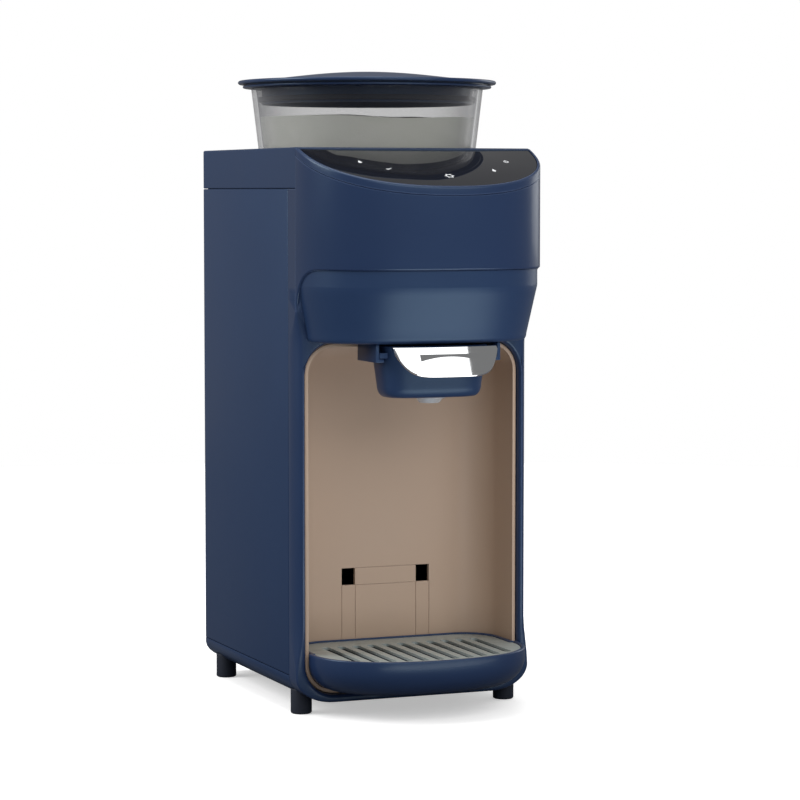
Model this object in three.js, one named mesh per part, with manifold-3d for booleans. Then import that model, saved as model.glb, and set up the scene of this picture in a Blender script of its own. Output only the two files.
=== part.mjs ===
// Baby formula maker: powder hopper on top, hood with a touch panel, bottle bay and water tank at the back.
// Millimetres, +Z up. The bay faces -Y and +X is on the viewer's right. The origin is on the ground.
import * as THREE from "three";
import { mergeVertices } from "three/addons/utils/BufferGeometryUtils.js";
import Module from "manifold-3d";

// Fits shared by all pieces
const gap = 0.3;
const runGap = 1.0;
const wall = 2.4;
const overrun = 20;

// Housing
const bodyWidth = 150;
const bodyBottom = 8;
const bodyTop = 336;
const bandHeight = 24;
const backCornerRadius = 5;
const bezelDepth = 13;
const baseSeamHeight = 15.6;
const baseCurveWidth = 24;
const backReturn = 13;
const rearCoverHeight = 34.4;

// Hood and panel
const hoodReach = 60;
const hoodPower = 2.3;
const hoodHeight = 71;
const hoodFillet = 25;
const panelDrop = 23.2;
const rimHeight = 4.8;
const rimWidth = 1.6;
const rimLedge = 2.2;
const glassThickness = 2;
const glassRecess = 0.4;
const boardThickness = 1.6;

// Spout housing
const spoutInset = 1.5;
const spoutStraightHeight = 10;
const spoutSoleInset = 9;
const spoutSoleReachInset = 15;
const spoutEdgeRadius = 4;
const collarHeight = 6;

// Bottle bay
const baySideMargin = 6.75;
const bayBaseMargin = 5;
const bayTopDrop = 115;
const bayCorner = 18;
const linerWall = 2.6;
const bayDepth = 46;
const bayInnerCorner = 19;
const slotSpacing = 48.8;
const slotWidth = 8.8;
const slotHeight = 10.5;
const slotRise = 38;
const windowMargin = 15;
const windowLip = 0.8;
const windowTopDrop = 12;

// Drip tray
const trayFrontClear = 1.05;
const trayReach = 51;
const trayHeight = 25;
const trayWall = 2.2;
const trayLedge = 1.8;
const trayBackCorner = 25;
const gridThickness = 1.5;
const gridBelowRim = 0.9;
const gridSlots = 15;
const gridEndMargin = 13.3;
const gridSlotWidth = 3;
const gridSlotInset = 8;
const gridSlotBack = 3;

// Funnel
const funnelHeight = 30.7;
const funnelWall = 2;
const funnelTopHalfWidth = 34;
const funnelSoleHalfWidth = 31;
const funnelTaper = 8;
const funnelEdge = 7;
const funnelPower = 3;
const funnelFrontInset = 16;
const funnelBackClear = 1;
const funnelFlange = 3;
const funnelFlangeDrop = 4;
const railWall = 2;
const railDepth = 10.5;
const railLip = 3;
const nozzleRadius = 9.5;
const nozzleBore = 3.2;
const nozzleDrop = 3.4;
const handleWidth = 65;
const handleDrop = 0.2;
const handleHeight = 17.2;
const handlePower = 6;
const handleLean = 8.5;
const handleBow = 4.5;
const handleThickness = 2.6;
const handleNeckWidth = 36;
const handleNeckHeight = 9;
const handleNeckReach = 5.2;

// Hopper
const hopperTopRadius = 71.2;
const hopperSetback = 4.8;
const spaceBehindHopper = 26.8;
const hopperRise = 37;
const hopperTaper = 4.4;
const hopperWall = 3;
const hopperBaseInset = 23.2;
const hopperChamber = 9.5;
const hopperFloor = 2.4;
const wellWall = 2;
const wellDepth = 49.6;
const lidOverhang = 8.1;
const lidRim = 4.2;
const lidDome = 8;
const lidThickness = 2.2;
const skirtInset = 6.4;
const skirtDepth = 10;
const sealHeight = 3;
const sealDrop = 1.5;

// Powder dosing
const wheelClear = 2;
const wheelHeight = 6.5;
const pocketCount = 8;
const pocketRadius = 7;
const pocketInset = 8;
const hubRadius = 8;
const hubHeight = 4;
const dogRadius = 4.6;
const dogSides = 6;
const outletRadius = 7.5;
const stirrerHeight = 22;
const stirrerBar = 4;
const gearModule = 1.25;
const gearTeeth = 36;
const pinionTeeth = 12;
const toothRootShare = 0.25;
const toothTipShare = 0.1;
const toothHeightShare = 0.75;
const toothPhaseShare = 0.5;
const gearHeight = 6;
const gearDrop = 5;
const shaftRadius = 5;
const pinionShaftRadius = 2.5;
const gearPlateThickness = 2.4;
const gearPlateMargin = 5;
const postRadius = 3;
const motorRadius = 17;
const motorLength = 36;
const chuteWidth = 22;
const chuteLength = 18;
const chuteWall = 1.5;
const chuteBackSetback = 4.5;

// Water side
const partitionDepth = 44;
const partitionClear = 3.6;
const tankTopDrop = 4;
const tankWall = 2.2;
const gripWidth = 70;
const gripHeight = 18;
const gripDepth = 11;
const gripDrop = 31;
const socketRadius = 4.5;
const socketBore = 2.4;
const socketHeight = 14;
const socketReach = 6;
const sealSection = 0.95;
const socketCollar = 8;
const waterSideInset = 40;
const hoseRadius = 3.4;
const hoseStraight = 6.8;
const pumpRadius = 16;
const pumpFrontClear = 9.4;
const pumpPortInset = 12;
const pumpHeight = 30;
const pumpBaseWidth = 26;
const pumpClear = 10;
const portRadius = 3.4;
const portLength = 5;
const heaterRadius = 19;
const heaterRise = 54;
const heaterLength = 90;
const heaterSetback = 24;
const heaterFootWidth = 28;
const spoutHoseDrop = 15;
const waterNozzleRadius = 4;
const waterNozzleInset = 29;
const waterNozzleLength = 7;
const waterNozzleClear = 8;
const waterNozzleFlange = 2.4;

// Boards, inlet, feet and screws
const boardInset = 9;
const boardClear = 8;
const boardHeight = 96;
const boardRise = 60;
const standoff = 4;
const standoffRadius = 2.5;
const boardPartHeight = 12;
const relayHeight = 6;
const capacitorRadius = 5;
const transformerShares = [0.15, 0.5];
const relayAcrossShares = [0.65, 0.85];
const relayUpShares = [0.15, 0.35];
const capacitorAcrossShares = [0.45, 0.7];
const capacitorUpShare = 0.75;
const inletWidth = 22;
const inletHeight = 16;
const inletDepth = 18;
const inletRecess = 12;
const inletWall = 2;
const inletInset = 35;
const inletRise = 16.4;
const pinRadius = 1.2;
const pinSpacing = 8.6;
const pinSetback = 5;
const footRadius = 6.35;
const footEdge = 1.2;
const footInset = 9;
const frontFootSetback = 16.6;
const backFootSetback = 18.6;
const footSink = 7;
const screwHeadRadius = 3.5;
const screwHeadHeight = 2.1;
const screwRadius = 1.6;
const screwLength = 12;
const screwInset = 30;
const frontScrewSetback = 60;
const backScrewSetback = 25;

// Segment counts
const roundSteps = 48;
const smallSteps = 20;
const hoodSteps = 30;
const handleSteps = 20;
const coarseSteps = 12;
const cornerSteps = 8;
const slotEndSteps = 1;

// Planes and centres that follow from the sizes above
const bodyDepth = hopperSetback + 2 * hopperTopRadius + spaceBehindHopper;
const backY = (bodyDepth + hoodReach) / 2;
const frontY = backY - bodyDepth;
const halfWidth = bodyWidth / 2;
const bandBottom = bodyTop - bandHeight;
const baseTop = bodyBottom + baseSeamHeight;
const rearCoverTop = baseTop + rearCoverHeight;
const sideFrontY = frontY + bezelDepth;
const footTop = bodyBottom + footSink;
const screwX = halfWidth - screwInset;
const inletX = halfWidth - inletInset;
const inletMiddle = baseTop + inletRise;

const panelSlope = panelDrop / hoodReach;
const hoodBottom = bodyTop - hoodHeight;
const bayWidth = bodyWidth - 2 * baySideMargin;
const bayBottom = bodyBottom + bayBaseMargin;
const bayTop = bodyTop - bayTopDrop;
const spoutBottom = bayTop + gap + runGap;
const spoutStraightBottom = hoodBottom - spoutStraightHeight;
const windowWidth = bodyWidth - 2 * windowMargin;
const windowBottom = spoutBottom + wall + windowLip;
const windowTop = bandBottom - windowTopDrop;

const bendX = bayWidth / 2 - linerWall - bayInnerCorner;
const bendY = frontY + bayDepth - bayInnerCorner;
const trayHalfWidth = bayWidth / 2 - trayFrontClear;
const trayBottom = bayBottom + linerWall + gap;
const trayRim = bayBottom + trayHeight;
const trayEdgeRadius = bayCorner;
const slotMiddle = trayRim + slotRise;
const gridPitch = 2 * (trayHalfWidth - gridEndMargin) / (gridSlots - 1);
const gridTop = trayRim - gridBelowRim;
const gridBottom = gridTop - gridThickness;

const funnelTop = spoutBottom - gap - runGap;
const funnelBottom = funnelTop - funnelHeight;
const funnelTopDepth = hoodReach - funnelFrontInset - funnelBackClear;
const funnelSoleDepth = funnelTopDepth - funnelTaper;
const funnelFlangeHeight = funnelTop - funnelFlangeDrop;
const funnelFront = frontY - hoodReach + funnelFrontInset;
const funnelMiddleY = funnelFront + funnelTopDepth / 2;
const funnelRailX = funnelTopHalfWidth + funnelFlange + gap;
const handleTop = funnelTop - handleDrop;
const handleBottom = handleTop - handleHeight;

const hopperTop = bodyTop + hopperRise;
const hopperDeckRadius = hopperTopRadius - hopperTaper;
const hopperBaseRadius = hopperTopRadius - hopperBaseInset;
const hopperY = frontY + hopperSetback + hopperTopRadius;
const wellFloorTop = bodyTop - wellDepth;
const wellBottom = wellFloorTop - wall;
const hopperBottom = wellFloorTop + gap;
const chamberTop = hopperBottom + hopperChamber;
const lidRadius = hopperTopRadius + lidOverhang;
const skirtRadius = hopperTopRadius - skirtInset;
const wheelRadius = hopperBaseRadius - hopperWall - wheelClear;
const pocketCircle = wheelRadius - pocketInset;
const wheelBottom = hopperBottom + hopperFloor + gap;
const wheelTop = wheelBottom + wheelHeight;
const dogTop = wheelTop - gap;
const gearTop = wellBottom - gearDrop;
const gearBottom = gearTop - gearHeight;
const gearPlateTop = gearBottom - gap;
const gearPlateBottom = gearPlateTop - gearPlateThickness;
const motorX = -gearModule * (gearTeeth + pinionTeeth) / 2;

const bayShelf = wellBottom - wall - 2 * gap;
const partitionY = backY - partitionDepth;
const upperPartitionY = hopperY + hopperDeckRadius + runGap + wellWall + partitionClear;
const tankTop = bandBottom - tankTopDrop;
const gripMiddle = bayShelf - gripDrop;
const socketZ = rearCoverTop + wall + socketHeight;
const waterSideX = halfWidth - waterSideInset;
const pumpZ = bodyBottom + wall + pumpHeight;
const pumpBack = partitionY - pumpClear;
const pumpFront = frontY + bayDepth + linerWall + pumpFrontClear;
const suctionY = pumpBack - pumpPortInset;
const pressureY = pumpFront + pumpPortInset;
const pumpPortTop = pumpZ + pumpRadius + portLength;
const heaterY = partitionY - heaterSetback;
const heaterBottom = rearCoverTop + heaterRise;
const heaterTop = heaterBottom + heaterLength;
const spoutHoseHeight = hoodBottom - spoutHoseDrop;
const waterNozzleX = chuteWidth / 2 + waterNozzleClear;
const waterNozzleY = frontY - hoodReach + waterNozzleInset;
const boardBottom = rearCoverTop + boardRise;

const wasm = await Module();
wasm.setup();
const { Manifold, Mesh: SolidMesh } = wasm;
const part = new THREE.Group();

// Turns a closed geometry into a solid that can be joined and cut
function solid(geometry) {
  const bare = geometry.clone();
  bare.deleteAttribute("normal");
  bare.deleteAttribute("uv");
  const merged = mergeVertices(bare);
  const corners = merged.index.array;
  const kept = [];
  for (let i = 0; i < corners.length; i += 3) {
    const [a, b, c] = [corners[i], corners[i + 1], corners[i + 2]];
    if (a !== b && b !== c && c !== a) {
      kept.push(a, b, c);
    }
  }
  return new Manifold(new SolidMesh({
    numProp: 3,
    vertProperties: new Float32Array(merged.attributes.position.array),
    triVerts: new Uint32Array(kept),
  }));
}

// Turns a solid back into a geometry
function geometryOf(body) {
  const mesh = body.getMesh();
  const geometry = new THREE.BufferGeometry();
  geometry.setAttribute("position", new THREE.BufferAttribute(mesh.vertProperties, 3));
  geometry.setIndex(new THREE.BufferAttribute(mesh.triVerts, 1));
  geometry.computeVertexNormals();
  return geometry;
}

// A solid from the first body with the others cut away
function cut(body, ...tools) {
  return tools.reduce((rest, tool) => rest.subtract(tool), body);
}

// One solid from several that touch or overlap
function join(...bodies) {
  return bodies.reduce((whole, body) => whole.add(body));
}

// Adds a named piece to the part
function piece(name, body, material) {
  const mesh = new THREE.Mesh(geometryOf(body), material);
  mesh.name = name;
  part.add(mesh);
}

function box(x0, x1, y0, y1, z0, z1) {
  const geometry = new THREE.BoxGeometry(x1 - x0, y1 - y0, z1 - z0);
  return solid(geometry.translate((x0 + x1) / 2, (y0 + y1) / 2, (z0 + z1) / 2));
}

// Prisms: an outline in the XY, YZ or XZ plane, drawn out along the third axis
function prismZ(shape, z0, z1) {
  const geometry = new THREE.ExtrudeGeometry(shape, { depth: z1 - z0, bevelEnabled: false });
  return solid(geometry.translate(0, 0, z0));
}

function prismX(shape, x0, x1) {
  const geometry = new THREE.ExtrudeGeometry(shape, { depth: x1 - x0, bevelEnabled: false });
  const turn = new THREE.Matrix4().makeBasis(
    new THREE.Vector3(0, 1, 0), new THREE.Vector3(0, 0, 1), new THREE.Vector3(1, 0, 0));
  return solid(geometry.applyMatrix4(turn).translate(x0, 0, 0));
}

function prismY(shape, y0, y1) {
  const geometry = new THREE.ExtrudeGeometry(shape, { depth: y1 - y0, bevelEnabled: false });
  const turn = new THREE.Matrix4().makeBasis(
    new THREE.Vector3(1, 0, 0), new THREE.Vector3(0, 0, 1), new THREE.Vector3(0, -1, 0));
  return solid(geometry.applyMatrix4(turn).translate(0, y1, 0));
}

// Round bars along Z and Y
function barZ(radius, x, y, z0, z1, steps = smallSteps) {
  const geometry = new THREE.CylinderGeometry(radius, radius, z1 - z0, steps);
  return solid(geometry.rotateX(Math.PI / 2).translate(x, y, (z0 + z1) / 2));
}

function barY(radius, x, z, y0, y1, steps = smallSteps) {
  const geometry = new THREE.CylinderGeometry(radius, radius, y1 - y0, steps);
  return solid(geometry.translate(x, (y0 + y1) / 2, z));
}

// A turned solid round a vertical axis, from [radius, height] points listed anticlockwise
function turned(points, x, y, steps = roundSteps) {
  const profile = points.map(([radius, height]) => new THREE.Vector2(radius, height));
  profile.push(profile[0].clone());
  const geometry = new THREE.LatheGeometry(profile, steps);
  return solid(geometry.rotateX(Math.PI / 2).translate(x, y, 0));
}

// An outline from points
function outline(points) {
  return new THREE.Shape(points.map(([u, v]) => new THREE.Vector2(u, v)));
}

// A rectangle with its four corners rounded
function roundedRectangle(u0, u1, v0, v1, radius, steps = cornerSteps / 2) {
  const shape = new THREE.Shape();
  shape.moveTo(u0 + radius, v0);
  shape.absarc(u1 - radius, v0 + radius, radius, -Math.PI / 2, 0);
  shape.absarc(u1 - radius, v1 - radius, radius, 0, Math.PI / 2);
  shape.absarc(u0 + radius, v1 - radius, radius, Math.PI / 2, Math.PI);
  shape.absarc(u0 + radius, v0 + radius, radius, Math.PI, Math.PI * 1.5);
  return outline(shape.extractPoints(steps).shape.map((p) => [p.x, p.y]));
}

// A rectangle with only its two far corners rounded, the far side being v1
function backRounded(u0, u1, v0, v1, radius) {
  const points = [[u0, v0], [u1, v0]];
  for (const [middle, start] of [[u1 - radius, 0], [u0 + radius, Math.PI / 2]]) {
    for (let i = 0; i <= cornerSteps; i += 1) {
      const angle = start + (Math.PI / 2) * (i / cornerSteps);
      points.push([middle + radius * Math.cos(angle), v1 - radius + radius * Math.sin(angle)]);
    }
  }
  return outline(points);
}

// The body seen from the front, with the two lower corners rounded off
function bodyOutline(inset, top) {
  const [x, low] = [halfWidth - inset, bodyBottom + inset];
  const [wide, tall] = [baseCurveWidth - inset, baseSeamHeight - inset];
  const points = [[x, top], [-x, top]];
  for (const [middle, start] of [[-x + wide, Math.PI], [x - wide, Math.PI * 1.5]]) {
    for (let i = 0; i <= cornerSteps; i += 1) {
      const angle = start + (Math.PI / 2) * (i / cornerSteps);
      points.push([middle + wide * Math.cos(angle), low + tall + tall * Math.sin(angle)]);
    }
  }
  return outline(points);
}

// Half an oval that bulges forward from the line y = back, from its right end to its left
function frontArc(across, reach, back, power) {
  const points = [];
  for (let i = 0; i <= hoodSteps; i += 1) {
    const angle = Math.PI * (i / hoodSteps);
    const [c, s] = [Math.cos(angle), Math.sin(angle)];
    const x = -across * Math.sign(c) * Math.abs(c) ** (2 / power);
    points.push([x, back - reach * Math.abs(s) ** (2 / power)]);
  }
  return points;
}

// A tall block with the hood's plan, inset all round and flat at the line y = back
function hoodBlock(inset, back) {
  const [across, reach, rear] = [halfWidth - inset, hoodReach - inset, frontY + overrun];
  const plan = outline([...frontArc(across, reach, frontY, hoodPower), [across, rear], [-across, rear]]);
  const [side, top] = [halfWidth + 2 * overrun, bodyTop + 2 * overrun];
  const behind = box(-side, side, back, rear + overrun, -overrun, top);
  return cut(prismZ(plan, 0, bodyTop + overrun), behind);
}

// A solid skinned over closed rings of equal count, each anticlockwise about the way they advance
function skinned(rings, flat) {
  const count = rings[0].length;
  const corners = rings.flat().flat();
  const triangles = [];
  for (let r = 0; r + 1 < rings.length; r += 1) {
    for (let i = 0; i < count; i += 1) {
      const [a, b] = [r * count + i, r * count + ((i + 1) % count)];
      triangles.push(a, b, b + count, a, b + count, a + count);
    }
  }
  const ends = [[rings[0], 0, false], [rings.at(-1), (rings.length - 1) * count, true]];
  for (const [ring, first, isLast] of ends) {
    const contour = ring.map((point) => new THREE.Vector2(...flat(point)));
    for (const [a, b, c] of THREE.ShapeUtils.triangulateShape(contour, [])) {
      const [p, q, s] = [contour[a], contour[b], contour[c]];
      const turn = (q.x - p.x) * (s.y - p.y) - (q.y - p.y) * (s.x - p.x);
      const up = turn > 0 ? [a, b, c] : [a, c, b];
      const facing = isLast ? up : [up[0], up[2], up[1]];
      triangles.push(...facing.map((corner) => corner + first));
    }
  }
  const geometry = new THREE.BufferGeometry();
  geometry.setAttribute("position", new THREE.Float32BufferAttribute(corners, 3));
  geometry.setIndex(triangles);
  return solid(geometry);
}

const fromAbove = ([x, y]) => [x, y];

// Everything below the panel's sloping plane, lowered by drop
function underPanel(drop, back = frontY + overrun) {
  const level = (y) => bodyTop - drop + panelSlope * (y - frontY);
  const front = frontY - hoodReach - overrun;
  const shape = outline([[front, 0], [back, 0], [back, level(back)], [front, level(front)]]);
  return prismX(shape, -halfWidth - overrun, halfWidth + overrun);
}

// Everything above the hood's lower edge, which sweeps down to the bezel in a fillet
function overHoodEdge(lower) {
  const radius = hoodFillet - lower;
  const [middleY, middleZ] = [frontY - hoodFillet, hoodBottom - hoodFillet];
  const front = frontY - hoodReach - overrun;
  const points = [[front, bodyTop + overrun], [front, middleZ + radius]];
  for (let i = 0; i <= cornerSteps; i += 1) {
    const angle = (Math.PI / 2) * (1 - i / cornerSteps);
    points.push([middleY + radius * Math.cos(angle), middleZ + radius * Math.sin(angle)]);
  }
  points.push([frontY + overrun, middleZ], [frontY + overrun, bodyTop + overrun]);
  return prismX(outline(points), -halfWidth - overrun, halfWidth + overrun);
}

function paint(color, roughness, metalness = 0) {
  return new THREE.MeshStandardMaterial({ color, roughness, metalness });
}

const navy = paint(0x2a3a5c, 0.45);
const navyLight = paint(0x34486a, 0.45);
const taupe = paint(0x968270, 0.5);
const blackGlass = paint(0x14161c, 0.06);
const steel = paint(0x8f9a98, 0.35, 1);
const chrome = paint(0xe6e8ea, 0.08, 1);
const frosted = paint(0xaaaaac, 0.3);
const clearGrey = paint(0xb9c0c4, 0.2);
const smoke = paint(0x6d7780, 0.2);
const rubber = paint(0x1d1e20, 0.8);
const silicone = paint(0xc9c9c4, 0.6);
const boardGreen = paint(0x1f5a3a, 0.6);
const castAlloy = paint(0xa4a7aa, 0.5, 1);
const blackPlastic = paint(0x202226, 0.55);
const nylon = paint(0xe4e2da, 0.5);

// Base shell: a tray with rounded lower edges
function baseShell() {
  const outer = prismY(bodyOutline(0, baseTop), sideFrontY + gap, backY);
  const inner = prismY(bodyOutline(wall, baseTop + overrun), sideFrontY + gap + wall, backY - wall);
  const bores = screwPlaces().map(([x, y]) => barZ(screwRadius + gap, x, y, 0, baseTop));
  return cut(outer, inner, bayHole(), ...footHoles(), ...bores);
}

// The hole that the bay liner passes through
function bayHole() {
  const half = bayWidth / 2 + gap;
  const shape = roundedRectangle(-half, half, bayBottom - gap, bayTop + gap, bayCorner + gap);
  return prismY(shape, frontY - overrun, sideFrontY + overrun);
}

function feetPlaces() {
  const [front, back] = [frontY + frontFootSetback, backY - backFootSetback];
  const x = halfWidth - footInset;
  return [[-x, front], [x, front], [-x, back], [x, back]];
}

function footHoles() {
  return feetPlaces().map(([x, y]) => barZ(footRadius + gap, x, y, 0, footTop + gap));
}

function screwPlaces() {
  const [front, back] = [frontY + frontScrewSetback, backY - backScrewSetback];
  return [[-screwX, front], [screwX, front], [-screwX, back], [screwX, back]];
}

function foot(x, y) {
  const profile = [[0, 0], [footRadius - footEdge, 0], [footRadius, footEdge], [footRadius, footTop],
    [0, footTop]];
  return turned(profile, x, y, smallSteps);
}

function baseScrew(x, y) {
  const headTop = bodyBottom - gap;
  return join(barZ(screwHeadRadius, x, y, headTop - screwHeadHeight, headTop),
    barZ(screwRadius, x, y, headTop - gap, headTop + screwLength));
}

// Front shell: the frame round the bay, and the hood's wall down to its sweeping lower edge
function frontShell() {
  const top = bandBottom - gap;
  const frame = cut(prismY(bodyOutline(0, top), frontY, sideFrontY),
    prismY(bodyOutline(wall, top + overrun), frontY + wall, sideFrontY + overrun));
  const window = box(-windowWidth / 2, windowWidth / 2, frontY - overrun, sideFrontY,
    windowBottom, windowTop);
  const hood = hoodBlock(0, frontY + wall)
    .intersect(overHoodEdge(0))
    .intersect(underPanel(rimHeight + gap / 2));
  const headroom = hoodBlock(wall, frontY);
  const above = box(-halfWidth - overrun, halfWidth + overrun, frontY - gap, sideFrontY + overrun,
    top, bodyTop + overrun);
  return cut(join(frame, cut(hood, headroom)), bayHole(), window, above, ...footHoles());
}

// Rim ring that carries the panel
function panelRim() {
  const back = frontY - gap;
  const ring = cut(hoodBlock(0, back), hoodBlock(wall + rimLedge, back - rimLedge));
  const slab = cut(ring.intersect(underPanel(0)), underPanel(rimHeight - gap / 2));
  const seat = cut(hoodBlock(rimWidth, frontY + overrun), underPanel(glassRecess + glassThickness + gap));
  return cut(slab, seat);
}

function touchPanel() {
  const plate = hoodBlock(rimWidth + gap, frontY - gap);
  return cut(plate.intersect(underPanel(glassRecess)), underPanel(glassRecess + glassThickness));
}

function controlBoard() {
  const inset = wall + rimLedge + gap;
  const top = glassRecess + glassThickness + gap;
  const plate = hoodBlock(inset, frontY - gap - inset);
  return cut(plate.intersect(underPanel(top)), underPanel(top + boardThickness));
}

// Side panel in plan: a long flat wall, a rounded back corner and a short return
function sidePanel(side) {
  const front = sideFrontY + gap;
  const radius = backCornerRadius;
  const points = [[halfWidth, front]];
  for (let i = 0; i <= cornerSteps; i += 1) {
    const angle = (Math.PI / 2) * (i / cornerSteps);
    points.push([halfWidth - radius + radius * Math.cos(angle), backY - radius + radius * Math.sin(angle)]);
  }
  points.push([halfWidth - backReturn, backY], [halfWidth - backReturn, backY - wall]);
  points.push([halfWidth - wall, backY - wall], [halfWidth - wall, front]);
  const placed = points.map(([x, y]) => [side * x, y]);
  return prismZ(outline(side > 0 ? placed : placed.reverse()), baseTop + gap, bandBottom - gap);
}

function rearCover() {
  const x = halfWidth - backReturn - gap;
  const plate = box(-x, x, backY - wall, backY, baseTop + gap, rearCoverTop - gap);
  const hole = box(inletX - inletWidth / 2 - gap, inletX + inletWidth / 2 + gap, backY - wall - overrun,
    backY + overrun, inletMiddle - inletHeight / 2 - gap, inletMiddle + inletHeight / 2 + gap);
  return cut(plate, hole);
}

// Mains inlet: a recessed block with two pins
function powerInlet() {
  const [x0, x1] = [inletX - inletWidth / 2, inletX + inletWidth / 2];
  const [z0, z1] = [inletMiddle - inletHeight / 2, inletMiddle + inletHeight / 2];
  const block = box(x0, x1, backY - inletDepth, backY, z0, z1);
  const recess = box(x0 + inletWall, x1 - inletWall, backY - inletRecess, backY + overrun,
    z0 + inletWall, z1 - inletWall);
  const pins = [-pinSpacing / 2, pinSpacing / 2].map((offset) =>
    barY(pinRadius, inletX + offset, inletMiddle, backY - inletRecess - inletWall,
      backY - pinSetback, cornerSteps));
  return join(cut(block, recess), ...pins);
}

// Radius of the hopper's outside at a height, from its taper
function hopperRadiusAt(height) {
  return hopperDeckRadius + (hopperTaper / hopperRise) * (height - bodyTop);
}

// Top cover: flat top with side band, and a round hole for the hopper
function topCover() {
  const front = frontY + gap;
  const plan = backRounded(-halfWidth, halfWidth, front, backY, backCornerRadius);
  const innerPlan = backRounded(wall - halfWidth, halfWidth - wall, front + wall, backY - wall,
    backCornerRadius - wall);
  const shell = prismZ(plan, bandBottom, bodyTop);
  const hollow = prismZ(innerPlan, bandBottom - overrun, bodyTop - wall);
  const hole = barZ(hopperDeckRadius + runGap, 0, hopperY, bandBottom, bodyTop + overrun, roundSteps);
  return cut(shell, hollow, hole);
}

// Hopper well: a tapered cup under the top cover that stands on its floor
function hopperWell() {
  const top = bodyTop - wall - gap;
  const [low, waist, mouth] = [hopperBaseRadius, hopperRadiusAt(chamberTop), hopperRadiusAt(top)]
    .map((radius) => radius + runGap);
  return turned([[low, hopperBottom], [low + wellWall, hopperBottom], [waist + wellWall, chamberTop],
    [mouth + wellWall, top], [mouth, top], [waist, chamberTop]], 0, hopperY);
}

// Floor of the hopper well, with a shaft hole and one powder outlet
function wellFloor() {
  const radius = hopperBaseRadius + runGap + wellWall;
  const shaftHole = barZ(shaftRadius + gap, 0, hopperY, wellBottom - gap, wellFloorTop + gap);
  const outlet = barZ(outletRadius, 0, hopperY - pocketCircle, wellBottom - gap, wellFloorTop + gap);
  return cut(barZ(radius, 0, hopperY, wellBottom, wellFloorTop, roundSteps), shaftHole, outlet);
}

// Bay liner: a deep tray on its side, with two square slots in its back wall. It is put together from
// a surround, a back wall and two rounded corner strips
function nicheForm() {
  const back = frontY + bayDepth;
  const form = (inset, front, rear) => {
    const x = bayWidth / 2 - inset;
    const across = roundedRectangle(-x, x, bayBottom + inset, bayTop - inset, bayCorner - inset);
    const plan = backRounded(-x, x, front, rear, bayInnerCorner + linerWall - inset);
    return prismY(across, front, rear).intersect(prismZ(plan, 0, bodyTop));
  };
  const slots = [-slotSpacing / 2, slotSpacing / 2].map((x) => box(x - slotWidth / 2, x + slotWidth / 2,
    back - overrun, back + overrun, slotMiddle - slotHeight / 2, slotMiddle + slotHeight / 2));
  return cut(form(0, frontY, back + linerWall), form(linerWall, frontY - overrun, back), ...slots);
}

function nicheLiner() {
  return nicheForm().intersect(box(-halfWidth, halfWidth, frontY - overrun, bendY - gap, 0, bodyTop));
}

function nicheBack() {
  const x = bendX - gap;
  return nicheForm().intersect(box(-x, x, bendY, partitionY, 0, bodyTop));
}

function nicheCorner(side) {
  const [x0, x1] = [side * bendX, side * halfWidth].sort((a, b) => a - b);
  return nicheForm().intersect(box(x0, x1, bendY, partitionY, 0, bodyTop));
}

// One level ring of the spout housing, inset from the hood at the sides and in front
function spoutRing(sideInset, reachInset, z) {
  const [across, reach, rear] = [halfWidth - sideInset, hoodReach - reachInset, frontY + overrun];
  const plan = [...frontArc(across, reach, frontY, hoodPower), [across, rear], [-across, rear]];
  return plan.map(([x, y]) => [x, y, z]);
}

// Spout housing: hangs under the hood, tapers to its sole and carries a collar inside the hood
function spoutHousing() {
  const top = hoodBottom + collarHeight;
  const form = (inset, back, floor, ceiling) => {
    const side = spoutInset + inset;
    const block = skinned([
      spoutRing(spoutSoleInset + inset, spoutSoleReachInset + inset, floor),
      spoutRing(spoutSoleInset - spoutEdgeRadius / 2 + inset, spoutSoleReachInset - spoutEdgeRadius + inset,
        floor + spoutEdgeRadius),
      spoutRing(side, side, spoutStraightBottom),
      spoutRing(side, side, ceiling),
    ], fromAbove);
    return cut(block, box(-bodyWidth, bodyWidth, back, back + 2 * overrun, 0, bodyTop + overrun));
  };
  const back = frontY - gap;
  const outer = form(0, back, spoutBottom, top);
  const inner = form(wall, back - wall, spoutBottom + wall, top + overrun);
  const edge = cut(hoodBlock(-overrun, frontY + overrun), hoodBlock(wall + gap, frontY + overrun))
    .intersect(overHoodEdge(gap));
  const chuteHole = box(-chuteWidth / 2 - gap, chuteWidth / 2 + gap, chuteFrontY() - gap,
    chuteFrontY() + chuteLength + gap + wall, 0, spoutBottom + wall + gap);
  const nozzleHole = barZ(waterNozzleRadius + gap, waterNozzleX, waterNozzleY, 0, spoutBottom + wall + gap);
  const throat = box(-windowWidth / 2, windowWidth / 2, back - wall - overrun, frontY,
    spoutBottom + wall, bodyTop);
  return cut(outer, inner, edge, chuteHole, nozzleHole, throat);
}

function chuteFrontY() {
  return frontY - chuteBackSetback - chuteLength;
}

// Powder chute: a slanted square duct from the well's outlet to the spout's sole
function powderChute() {
  const [top, low] = [wellBottom - gap, spoutBottom + gap];
  const upperFront = hopperY - pocketCircle - chuteLength / 2;
  const lowerFront = chuteFrontY();
  const duct = (inset, over) => {
    const slant = (upperFront - lowerFront) / (top - low);
    const [u0, u1] = [upperFront + inset + slant * over, upperFront + chuteLength - inset + slant * over];
    const [l0, l1] = [lowerFront + inset - slant * over, lowerFront + chuteLength - inset - slant * over];
    const shape = outline([[l0, low - over], [l1, low - over], [u1, top + over], [u0, top + over]]);
    return prismX(shape, inset - chuteWidth / 2, chuteWidth / 2 - inset);
  };
  return cut(duct(0, 0), duct(chuteWall, overrun));
}

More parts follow.
